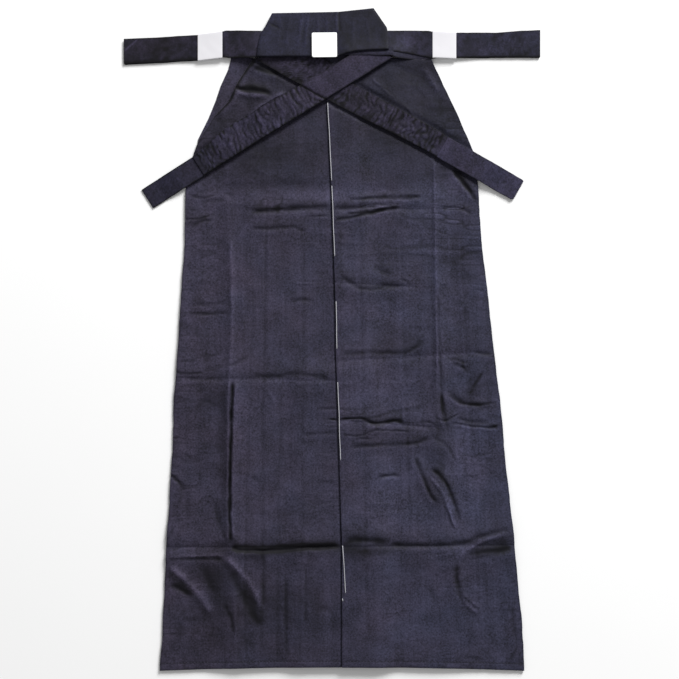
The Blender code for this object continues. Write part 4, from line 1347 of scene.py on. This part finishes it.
def back_tie(name, table, root, low_lift, relief, finish):
    """A back tie folded in three; low_lift raises the lower edge of a layer beside the board."""
    path = folded_path(back_tie_runs(table, root), BACK_TIE_STEPS[0])
    x, z, level = (column[:, None] for column in path.T)
    at = columns_at(table, "x", x)
    stops = to_border(BACK_TIE_WIDEST, BACK_TIE_STEPS[1], CLOTH)
    share = (stops / BACK_TIE_WIDEST)[None, :]
    low, high = at.y - at.width / 2, at.y + at.width / 2
    low = low + low_lift(x, level) - WIDER * (1 - smooth(*WIDER_X, np.abs(x)))
    slip = SLIP * (level - 1) * smooth(*SLIP_X, np.abs(x))
    y = low + (high - low) * share + slip
    y = y + 0.35 * wander(x, level * 9, 24, 5) + 0.2 * wander(x, level * 5, 8, 6)
    rise, tone = relief(x, y, level, share)
    x = x + 0 * share
    grid = (x, y, z + back_tie_floor(x) + beside_board_rise(x, y) + rise)
    thickness = rounded(walked_along(path), stops, CLOTH)
    return wall_piece(name, grid, thickness, finish, tone - edge_shade(stops))


def left_tie_relief(x, y, level, share):
    """The left back tie's upper layer: a flattened lower edge with painted shade, and the slanting seam of
    its mitre; its lower layers take painted shade.
    """
    top = smooth(1.5, 2.0, level)
    soft = uneven(x, y, (0.16, 26, 81), (0.1, 8, 82))
    near_low_edge = bell(share, PRESSED)
    rough = uneven(x, y, (0.4, 22, 83), (0.45, 8, 84)) + 0.35 * wander(x, 0.7 * y, 4, 38)
    across, up = x - MITRE[0], y - MITRE[1]
    beside = MITRE_WAY[0] * up - MITRE_WAY[1] * across
    along = MITRE_WAY[0] * across + MITRE_WAY[1] * up
    mitre = bell(beside, MITRE_WIDTH) * (1 - smooth(*MITRE_HALF, np.abs(along)))
    tone = rough - 0.6 - 0.35 * smooth(*LEFT_TIP_DIM, x) - 0.9 * near_low_edge + 2.4 * mitre
    return (soft + 0.1 - 0.25 * near_low_edge) * top, tone * top - 0.5 * (1 - top)


def right_tie_relief(x, y, level, share):
    """The right back tie's upper layer: a flattened lower edge with painted shade, and small gathers near its
    tip with painted light on their crests and painted shade between; its lower layers take painted shade.
    """
    top = smooth(1.5, 2.0, level)
    crest, size = crimp(x, y - 470, *TIP_GATHERS, TIP_GATHER_PITCH, 85)
    soft = uneven(x, y, (0.14, 24, 86), (0.1, 7, 87))
    near_low_edge = bell(share, PRESSED)
    rough = uneven(x, y, (0.4, 20, 88), (0.45, 7, 89)) + 0.35 * wander(x, 0.7 * y, 4, 39)
    tone = 0.9 * size * (crest - 0.6) + rough - 0.45 - 0.6 * near_low_edge
    return (soft + 0.28 * crest * size + 0.1 - 0.2 * near_low_edge) * top, tone * top - 0.5 * (1 - top)


def no_lift(x, level):
    """A lower edge that runs straight."""
    return 0 * x * level


def beside_board_lift(x, level):
    """The upper layer's lower edge rises towards the board, and the lower layers end in a slant."""
    top = smooth(1.2, 2.0, level)
    return np.interp(x, *UPPER_LAYER_LIFT) * top + np.interp(x, *LOWER_LAYER_LIFT) * (1 - top)


def band_outline(x, table, offset):
    """A paper band's outline round its tie at one place along it, offset from the middle of the paper."""
    at = columns_at(table, "x", x)
    low = back_tie_floor(x) - GAP - PAPER / 2
    high = back_tie_floor(x) + 2 * PITCH + CLOTH + GAP + PAPER / 2 + 0.45
    y_mid, z_mid = at.y + 0.35 * math.sin(x * 0.05), (low + high) / 2
    half_y = at.width / 2 + GAP + PAPER / 2 + BAND_SLACK - BAND_CORNER
    half_z = (high - low) / 2 - BAND_CORNER
    radius = BAND_CORNER + offset
    outline = []
    for k, (sy, sz) in enumerate(((1, 1), (-1, 1), (-1, -1), (1, -1))):
        y_corner, z_corner = y_mid + sy * half_y, z_mid + sz * half_z
        for a in np.radians([0, 15, 30, 45, 60, 75, 90]) + k * math.pi / 2:
            outline.append((x, y_corner + radius * math.cos(a), z_corner + radius * math.sin(a)))
        if k % 2:
            continue
        for share in np.linspace(0, 1, 16)[1:-1]:
            y = y_mid + (1 - 2 * share) * sy * half_y
            soft = math.sin(math.pi * share) if k == 0 else 0.0
            z = z_mid + (half_z + radius) * sz - BAND_SAG * soft
            outline.append((x, y, z + BAND_BULGE * float(wander(x, y, 12, 91)) * soft))
    return outline


def keeper(name, table, ends, finish):
    """A paper band round a folded back tie."""
    xs = ends[0] + to_border(ends[1] - ends[0], BAND_STEP, PAPER)
    outer, inner = (np.array([band_outline(x, table, off) for x in xs]) for off in (PAPER / 2, -PAPER / 2))
    thin = edge_round(to_edge(xs), PAPER)[:, None, None] / PAPER
    middle = (outer + inner) / 2
    outer, inner = middle + (outer - middle) * thin, middle + (inner - middle) * thin
    rows, count = outer.shape[:2]
    index = np.arange(rows * count).reshape(rows, count)
    inside = index.copy()
    inside[1:-1] = rows * count + np.arange((rows - 2) * count).reshape(rows - 2, count)
    places = np.vstack([outer.reshape(-1, 3), inner[1:-1].reshape(-1, 3)])
    index, inside = (np.concatenate([grid, grid[:, :1]], axis=1) for grid in (index, inside))
    faces = np.vstack([quads(index), quads(inside)[:, ::-1]])
    return make_piece(name, places, faces.tolist(), finish)


def board_low_edge(x):
    """The board's lower edge, which lifts towards the right."""
    return np.interp(x, *BOARD_LOW_EDGE)


def board_top_edge(x):
    """The board's upper edge."""
    return np.interp(x, *BOARD_TOP_EDGE)


def board_underside(x, y):
    """Underside of the board, raised over the tie and the strip that come out below it."""
    raised = np.maximum(0.0, 1 - np.abs(x - BOARD_MIDDLE_X) / BOARD_RIDGE_REACH)
    over_tie = BOARD_LIFT * smooth(*BOARD_LIFT_X, x) * bell(y - BOARD_LIFT_Y, BOARD_LIFT_REACH)
    return BOARD_LOW_Z - BOARD_SLOPE * (y - WAIST_Y) + BOARD_RIDGE * raised + over_tie


def board_relief(x, y, strength):
    """The crease above the label, soft upright wrinkles on the left, and the rolled upper corner; the tone
    paints light and shade across the crease, light on the wrinkles, and shade in the corner, over the right
    part and along the lower edge.
    """
    low = board_low_edge(x)
    fold = x - BOARD_MIDDLE_X + 0.8 * wander(y, 0 * y, 26, 95)
    above = smooth(*ABOVE_LABEL_Y, y)
    crease = (bell(fold + 2.4, 2.2) - 0.9 * bell(fold - 1.6, 2.4)) * above
    wrinkles = np.zeros(np.shape(x))
    for at, lean, rise in BOARD_WRINKLES:
        off = x - at - lean * (y - WRINKLES_Y) - 1.6 * wander(y, 0 * y, 20, 96 + at)
        wrinkles += rise * bell(off, 2.6) * smooth(*WRINKLED_UP, y) * (1 - smooth(*WRINKLED_TO, y))
    tuck = ((x - ROLLED_CORNER[0]) * ROLLED_SLOPE + (y - ROLLED_CORNER[1])) / 1.12
    first, last = ROLLED_X
    corner = bell(tuck, 2.0) * smooth(*first, x) * (1 - smooth(*last, x))
    # painted shade along the board's lower edge
    near_low_edge = bell(y - low - 1.2, 1.6)
    rise = strength * (0.5 * crease + wrinkles - 0.6 * corner)
    rise = rise + 0.25 * wander(x, y, 34, 97) + 0.1 * wander(x, y, 9, 98)
    # painted shade over the board's right part
    right = smooth(*BOARD_SHADE_X, x + 0 * y)
    tone = 0.9 * crease + 1.5 * wrinkles - 1.3 * corner - 0.55 * right - 0.2
    tone = tone + 0.35 * wander(x, 0.4 * y, 12, 123) + 0.3 * wander(x, y, 6, 124)
    return rise, tone - 0.6 * near_low_edge


def board_shares(ends, count):
    """Shares of the board's width or height, closer together near both ends."""
    middle = np.linspace(ends[-1], 1 - ends[-1], count)
    return np.unique(np.round(np.concatenate([ends, middle, 1 - np.array(ends)]), 5))


def back_board(name, finish, strength):
    """The stiff board, covered with the cloth."""
    u = board_shares((0, 0.001, 0.004, 0.01, 0.016), 110)[None, :]
    v = board_shares((0, 0.003, 0.01, 0.022, 0.034), 44)[:, None]
    rows = columns_at(BOARD, "left_y", BOARD[0].left_y + (BOARD[-1].left_y - BOARD[0].left_y) * v)
    x = rows.left_x + (rows.right_x - rows.left_x) * u
    x = x + 0.35 * wander(v * 60, u * 3, 8, 99) * (np.abs(u - 0.5) * 2) ** 6
    low, high = board_low_edge(x), board_top_edge(x)
    y = low + (high - low) * v
    rise, tone = board_relief(x, y, strength)
    to_side = np.minimum(u, 1 - u) * (rows.right_x - rows.left_x)
    z = board_underside(x, y) + BOARD_THICKNESS / 2 + rise - 0.7 * bell(to_side, 2.4)
    thickness = edge_round(np.minimum(to_side, np.minimum(v, 1 - v) * (high - low)), BOARD_THICKNESS)
    return wall_piece(name, (x, y, z), thickness, finish, tone)


def strip_place(u, v):
    """Places of the strip of waistband that shows between the board and the tie on top, and its tone: a
    painted highlight on its wrinkle and painted shade along its lower edge.
    """
    x = STRIP_ENDS[0] + (STRIP_ENDS[1] - STRIP_ENDS[0]) * u
    low = np.interp(x, *STRIP_LOW_EDGE) + 0.25 * wander(x, 0 * x, 12, 121)
    y = low + STRIP_WIDTH * v
    wrinkle = 0.35 * bell(y - low - 3.4 - 0.02 * (x - 60), 1.0) * smooth(30, 44, x)
    z = STRIP_Z - 0.1 * (y - low) + wrinkle + 0.12 * wander(x, y, 14, 122)
    return (x, y, z), 1.4 * wrinkle - 0.5 * bell(y - low, 1.6) - 0.25


def waistband_strip(name, finish):
    """The strip of waistband, a thin wall that is round all along its edge."""
    length = STRIP_ENDS[1] - STRIP_ENDS[0]
    along = to_border(length, STRIP_STEPS[0], STRIP_CLOTH)
    across = to_border(STRIP_WIDTH, STRIP_STEPS[1], STRIP_CLOTH)
    u, v = np.meshgrid(along / length, across / STRIP_WIDTH, indexing="ij")
    grid, tone = strip_place(u, v)
    return wall_piece(name, grid, rounded(along, across, STRIP_CLOTH), finish, tone)


def label_card(name, finish):
    """A small bare card that curls up a little at its corners."""
    half = LABEL_SIDE / 2
    stops = to_border(LABEL_SIDE, LABEL_STEP, LABEL_THICKNESS)
    u, v = np.meshgrid(stops - half, stops - half, indexing="ij")
    reach = half - LABEL_CORNER
    excess = np.hypot(np.maximum(0, np.abs(u) - reach), np.maximum(0, np.abs(v) - reach))
    pull = np.where(excess > LABEL_CORNER, LABEL_CORNER / np.maximum(excess, 1e-6), 1.0)

    def pulled_in(w):
        return np.sign(w) * np.where(np.abs(w) > reach, reach + (np.abs(w) - reach) * pull, np.abs(w))

    u, v = pulled_in(u), pulled_in(v)
    x = LABEL_CENTRE[0] + u * math.cos(LABEL_LEAN) - v * math.sin(LABEL_LEAN)
    y = LABEL_CENTRE[1] + u * math.sin(LABEL_LEAN) + v * math.cos(LABEL_LEAN)
    lift = BOARD_THICKNESS + GAP + LABEL_LIFT + LABEL_THICKNESS / 2
    z = board_underside(LABEL_CENTRE[0] + half, y) + lift
    z = z + LABEL_CURL * (np.abs(u) / half) ** 3 + 0.1 * wander(x, y, 16, 101)
    return wall_piece(name, (x, y, z), rounded(stops, stops, LABEL_THICKNESS), finish)


def tubes(name, lines, radius, finish, sides=6):
    """Threads along lines of places, each a round closed tube, in one piece."""
    places, faces = [], []
    for line in lines:
        line = np.array(line, float)
        way = np.gradient(line, axis=0)
        way /= np.linalg.norm(way, axis=1, keepdims=True)
        aside = np.cross(way, (0, 0, 1.0))
        aside /= np.linalg.norm(aside, axis=1, keepdims=True)
        up = np.cross(aside, way)
        start, count = len(places), len(line)
        for k in range(sides):
            angle = 2 * math.pi * k / sides
            ring = line + radius * (aside * math.cos(angle) + up * math.sin(angle))
            places += ring.tolist()
        for k in range(sides):
            a, b = start + k * count, start + (k + 1) % sides * count
            faces += [(a + i, a + i + 1, b + i + 1, b + i) for i in range(count - 1)]
        first, last = len(places), len(places) + 1
        places += [line[0].tolist(), line[-1].tolist()]
        for k in range(sides):
            a, b = start + k * count, start + (k + 1) % sides * count
            faces += [(first, a, b), (last, b + count - 1, a + count - 1)]
    return make_piece(name, places, faces, finish)


def surface_line(places, lift, strength, step=3.0):
    """Places on the back panels along a line, both ends dipping into the cloth."""
    (x0, y0), (x1, y1) = places
    count = max(5, int(math.hypot(x1 - x0, y1 - y0) / step))
    share = np.linspace(0, 1, count)
    x = x0 + (x1 - x0) * share + 0.35 * wander(y0 + (y1 - y0) * share, 0 * share, 30, 105)
    y = y0 + (y1 - y0) * share
    z = back_top(x, y, strength)[0] + hem_height(y)
    heights = np.maximum(z, np.convolve(np.pad(z, 2, mode="edge"), np.ones(5) / 5, "valid")) + lift
    heights[[0, -1]] -= THREAD_DIP + lift
    return np.stack([x, y, heights], axis=-1)


def colour_setting(name, text, value):
    """A colour that a user may change."""
    return bpy.props.FloatVectorProperty(
        name=name, description=text, subtype="COLOR", size=3, min=0.0, max=1.0, default=value
    )


class HakamaCloth(bpy.types.PropertyGroup):
    """Colours and surface of the garment."""

    panel: colour_setting("Panels", "Colour of the panels", (0.0289, 0.0268, 0.0464))
    tie: colour_setting("Ties", "Colour of the ties", (0.0180, 0.0160, 0.0310))
    # the board's cloth is the panels' navy made darker, as painted shade for a board that faces the light
    # more
    board: colour_setting("Board", "Colour of the board's cloth", (0.0120, 0.0107, 0.0218))
    paper: colour_setting("Paper", "Colour of the paper bands", (0.70, 0.69, 0.72))
    label: colour_setting("Label", "Colour of the bare label", (0.86, 0.86, 0.86))
    thread: colour_setting("Thread", "Colour of the basting thread", (0.50, 0.50, 0.54))
    crease: bpy.props.FloatProperty(
        name="Creases", description="Strength of the storage creases", subtype="FACTOR",
        min=0.0, max=1.5, default=1.0,
    )
    gather: bpy.props.FloatProperty(
        name="Gathers", description="Height of the gathers on the front ties", unit="LENGTH",
        min=0.0, default=1.0 * MM,
    )
    gather_pitch: bpy.props.FloatProperty(
        name="Gather spacing", description="Distance between the gathers", unit="LENGTH",
        min=3.0 * MM, default=8.0 * MM,
    )


class HakamaStage(bpy.types.PropertyGroup):
    """Floor, light and camera."""

    floor: colour_setting("Floor", "Colour of the floor", (0.92, 0.92, 0.92))
    key: bpy.props.FloatProperty(
        name="Key light", description="Power of the large light", unit="POWER", min=0.0, default=690.0
    )
    sky: bpy.props.FloatProperty(
        name="Sky", description="Brightness of the surroundings", min=0.0, default=0.40
    )
    key_elevation: bpy.props.FloatProperty(
        name="Light height", description="Angle of the large light over the floor", subtype="ANGLE",
        default=math.radians(28),
    )
    key_turn: bpy.props.FloatProperty(
        name="Light direction", description="Angle of the large light from the X axis", subtype="ANGLE",
        default=math.radians(62),
    )


def settings():
    """The garment's settings in the scene."""
    return bpy.context.scene.hakama_cloth


class HAKAMA_OT_stage(bpy.types.Operator):
    """Lay the floor and set the light and the camera."""

    bl_idname = "hakama.stage"
    bl_label = "Stage"

    def execute(self, context):
        stage = context.scene.hakama_stage
        scene = context.scene
        mesh = bpy.data.meshes.new("floor")
        ways = ((-1, -1), (1, -1), (1, 1), (-1, 1))
        corners = [(x * FLOOR_REACH, y * FLOOR_REACH, FLOOR_Z * MM) for x, y in ways]
        mesh.from_pydata(corners, [], [(0, 1, 2, 3)])
        mesh.materials.append(floor_finish("floor", stage.floor))
        floor = bpy.data.objects.new("floor", mesh)
        key_light = bpy.data.lights.new("key", "AREA")
        key_light.shape = "RECTANGLE"
        key_light.size, key_light.size_y = KEY_SIZE
        key_light.energy = stage.key
        key = bpy.data.objects.new("key", key_light)
        flat = math.cos(stage.key_elevation) * KEY_DISTANCE
        key.location = (
            flat * math.cos(stage.key_turn),
            flat * math.sin(stage.key_turn),
            math.sin(stage.key_elevation) * KEY_DISTANCE,
        )
        key.rotation_euler = (-key.location).to_track_quat("-Z", "Y").to_euler()
        camera_data = bpy.data.cameras.new("camera")
        camera_data.sensor_width = SENSOR
        camera_data.lens = SENSOR * CAMERA_HEIGHT / (FRAME_PIXELS * MM_PER_PIXEL * MM)
        camera_data.clip_end = 50.0
        camera = bpy.data.objects.new("camera", camera_data)
        camera.location = (FRAME_CENTRE[0] * MM, FRAME_CENTRE[1] * MM, CAMERA_HEIGHT)
        for thing in (floor, key, camera):
            scene.collection.objects.link(thing)
        scene.camera = camera
        world = bpy.data.worlds.new("studio")
        world.use_nodes = True
        sky = world.node_tree.nodes["Background"]
        sky.inputs["Color"].default_value = (1.0, 1.0, 1.0, 1.0)
        sky.inputs["Strength"].default_value = stage.sky
        scene.world = world
        scene.view_settings.view_transform = "Standard"
        scene.view_settings.look = "None"
        return {"FINISHED"}


class HAKAMA_OT_front(bpy.types.Operator):
    """Lay the front panels, the gussets between the legs and the front waistband."""

    bl_idname = "hakama.front"
    bl_label = "Front"

    def execute(self, context):
        cloth = cloth_finish("front_cloth", settings().panel, math.radians(2))
        band = cloth_finish("waistband_cloth", settings().tie, math.radians(88))

        def lift(x, y):
            return 0.12 * (1 + float(wander(x, y, 60, 111)))

        sizes = {"front_left": (0.45, 0.975, 0.383), "front_right": (0.41, 0.975, 0.345)}
        for node, (width, length, area) in sizes.items():
            piece = refine(node, f"{node}_cloth", cloth, lift, FRONT_STEP)
        for side in ("left", "right"):
            piece = refine(f"gusset_{side}", f"gusset_{side}_cloth", cloth, lift, FRONT_STEP)
        piece = refine("front_waistband", "front_waistband_cloth", band, lift, WAISTBAND_STEP)
        return {"FINISHED"}


class HAKAMA_OT_back_panels(bpy.types.Operator):
    """Lay the two back panels with their storage creases."""

    bl_idname = "hakama.back_panels"
    bl_label = "Back panels"

    def execute(self, context):
        cloth = cloth_finish("panel_cloth", settings().panel, math.radians(1.5))
        for name, side in (("left", -1), ("right", 1)):
            piece = back_panel(f"back_panel_{name}", side, settings().crease, cloth)
            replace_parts(piece, f"back_{name}")
        return {"FINISHED"}


class HAKAMA_OT_front_ties(bpy.types.Operator):
    """Cross the two folded front ties over the back."""

    bl_idname = "hakama.front_ties"
    bl_label = "Front ties"

    def execute(self, context):
        options = settings()
        rise, pitch = options.gather / MM, options.gather_pitch / MM
        under_floor = under_floor_heights()
        over_floor = over_floor_heights(under_floor)
        length = UNDER_AXIS.length
        under_runs = ((length - 3, 0, 0), (0, length - 1, 1), (length - 1, UNDER_BEND, 2))
        finish = cloth_finish("under_tie_cloth", options.tie, UNDER_AXIS.turn())
        piece = front_tie(
            "front_tie_below", UNDER_AXIS, under_runs, under_floor, under_edges, UNDER_SKEW,
            under_relief(rise, pitch), finish,
        )
        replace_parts(piece, "front_tie_left")
        run_length(under_runs) * MM
        length = OVER_AXIS.length
        over_runs = ((0, length - 3, 0), (length - 3, 0, 1), (0, OVER_BEND, 2))
        finish = cloth_finish("over_tie_cloth", options.tie, OVER_AXIS.turn())
        piece = front_tie(
            "front_tie_above", OVER_AXIS, over_runs, over_floor, over_edges, OVER_SKEW,
            over_relief(rise, pitch), finish,
        )
        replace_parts(piece, "front_tie_right")
        run_length(over_runs) * MM
        return {"FINISHED"}


class HAKAMA_OT_back_ties(bpy.types.Operator):
    """Fold the back ties in three on either side of the board."""

    bl_idname = "hakama.back_ties"
    bl_label = "Back ties"

    def execute(self, context):
        finish = cloth_finish("back_tie_cloth", settings().tie, math.radians(1))
        kinds = (
            ("left", LEFT_BACK_TIE, LEFT_ROOT, no_lift, left_tie_relief),
            ("right", RIGHT_BACK_TIE, RIGHT_ROOT, beside_board_lift, right_tie_relief),
        )
        for side, table, root, low_lift, relief in kinds:
            piece = back_tie(f"back_tie_{side}_cloth", table, root, low_lift, relief, finish)
            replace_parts(piece, f"back_tie_{side}")
            run_length(back_tie_runs(table, root)) * MM
        return {"FINISHED"}


class HAKAMA_OT_paper(bpy.types.Operator):
    """Wrap a paper band round each back tie."""

    bl_idname = "hakama.paper"
    bl_label = "Paper bands"

    def execute(self, context):
        finish = paper_finish("paper", settings().paper)
        bands = (("left", LEFT_BACK_TIE, LEFT_KEEPER), ("right", RIGHT_BACK_TIE, RIGHT_KEEPER))
        for side, table, ends in bands:
            piece = keeper(f"paper_band_{side}", table, ends, finish)
            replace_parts(piece, f"paper_keeper_{side}")
            ends[1] * MM - ends[0] * MM
        return {"FINISHED"}


class HAKAMA_OT_board(bpy.types.Operator):
    """Set the stiff board over the waist, with the strip of waistband below it."""

    bl_idname = "hakama.board"
    bl_label = "Board"

    def execute(self, context):
        finish = cloth_finish("board_cloth", settings().board, math.radians(90))
        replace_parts(back_board("board", finish, settings().crease), "back_board")
        strip = waistband_strip("waistband_strip", cloth_finish("strip_cloth", settings().tie))
        return {"FINISHED"}


class HAKAMA_OT_label(bpy.types.Operator):
    """Lay the bare label on the board."""

    bl_idname = "hakama.label"
    bl_label = "Label"

    def execute(self, context):
        finish = paper_finish("label_card", settings().label)
        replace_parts(label_card("label", finish), "size_label")
        return {"FINISHED"}


class HAKAMA_OT_sewing(bpy.types.Operator):
    """Sew the basting thread and the hem."""

    bl_idname = "hakama.sewing"
    bl_label = "Sewing"

    def execute(self, context):
        options = settings()
        white = thread_finish("basting_thread", options.thread)
        lines = [surface_line(places, BASTING_LIFT, options.crease) for places in BASTING]
        tubes("basting", lines, BASTING_RADIUS, white)
        navy = thread_finish("sewing_thread", [c * 1.5 for c in options.panel])
        near_hem = columns_at(SECTIONS, "y", HEM_Y + 1)
        dashes = []
        for x in np.arange(*STITCH_RANGE, STITCH_PITCH):
            y = float(bowed(HEM_Y + HEM_STITCH, share_of_width(x, near_hem)))
            dashes.append(surface_line(((x, y), (x + STITCH_LENGTH, y)), 0.1, options.crease, 0.5))
        tubes("hem_stitches", dashes, STITCH_RADIUS, navy, sides=5)
        return {"FINISHED"}


class HAKAMA_PT_panel(bpy.types.Panel):
    """Makes the hakama piece by piece."""

    bl_idname = "HAKAMA_PT_panel"
    bl_label = "Hakama laid flat"
    bl_space_type = "VIEW_3D"
    bl_region_type = "UI"
    bl_category = "Hakama"

    def draw(self, context):
        layout = self.layout
        for step in STEPS:
            layout.operator(step.bl_idname)
        for group in (context.scene.hakama_cloth, context.scene.hakama_stage):
            box = layout.box()
            for name in group.bl_rna.properties.keys():
                if name not in ("rna_type", "name"):
                    box.prop(group, name)


STEPS = (
    HAKAMA_OT_stage,
    HAKAMA_OT_front,
    HAKAMA_OT_back_panels,
    HAKAMA_OT_front_ties,
    HAKAMA_OT_back_ties,
    HAKAMA_OT_paper,
    HAKAMA_OT_board,
    HAKAMA_OT_label,
    HAKAMA_OT_sewing,
)
CLASSES = (HakamaCloth, HakamaStage, *STEPS, HAKAMA_PT_panel)


def register():
    for made in CLASSES:
        bpy.utils.register_class(made)
    bpy.types.Scene.hakama_cloth = bpy.props.PointerProperty(type=HakamaCloth)
    bpy.types.Scene.hakama_stage = bpy.props.PointerProperty(type=HakamaStage)


def unregister():
    del bpy.types.Scene.hakama_cloth
    del bpy.types.Scene.hakama_stage
    for made in reversed(CLASSES):
        bpy.utils.unregister_class(made)


def main():
    register()
    for step in STEPS:
        group, name = step.bl_idname.split(".")
        getattr(getattr(bpy.ops, group), name)()


if __name__ == "__main__":
    main()
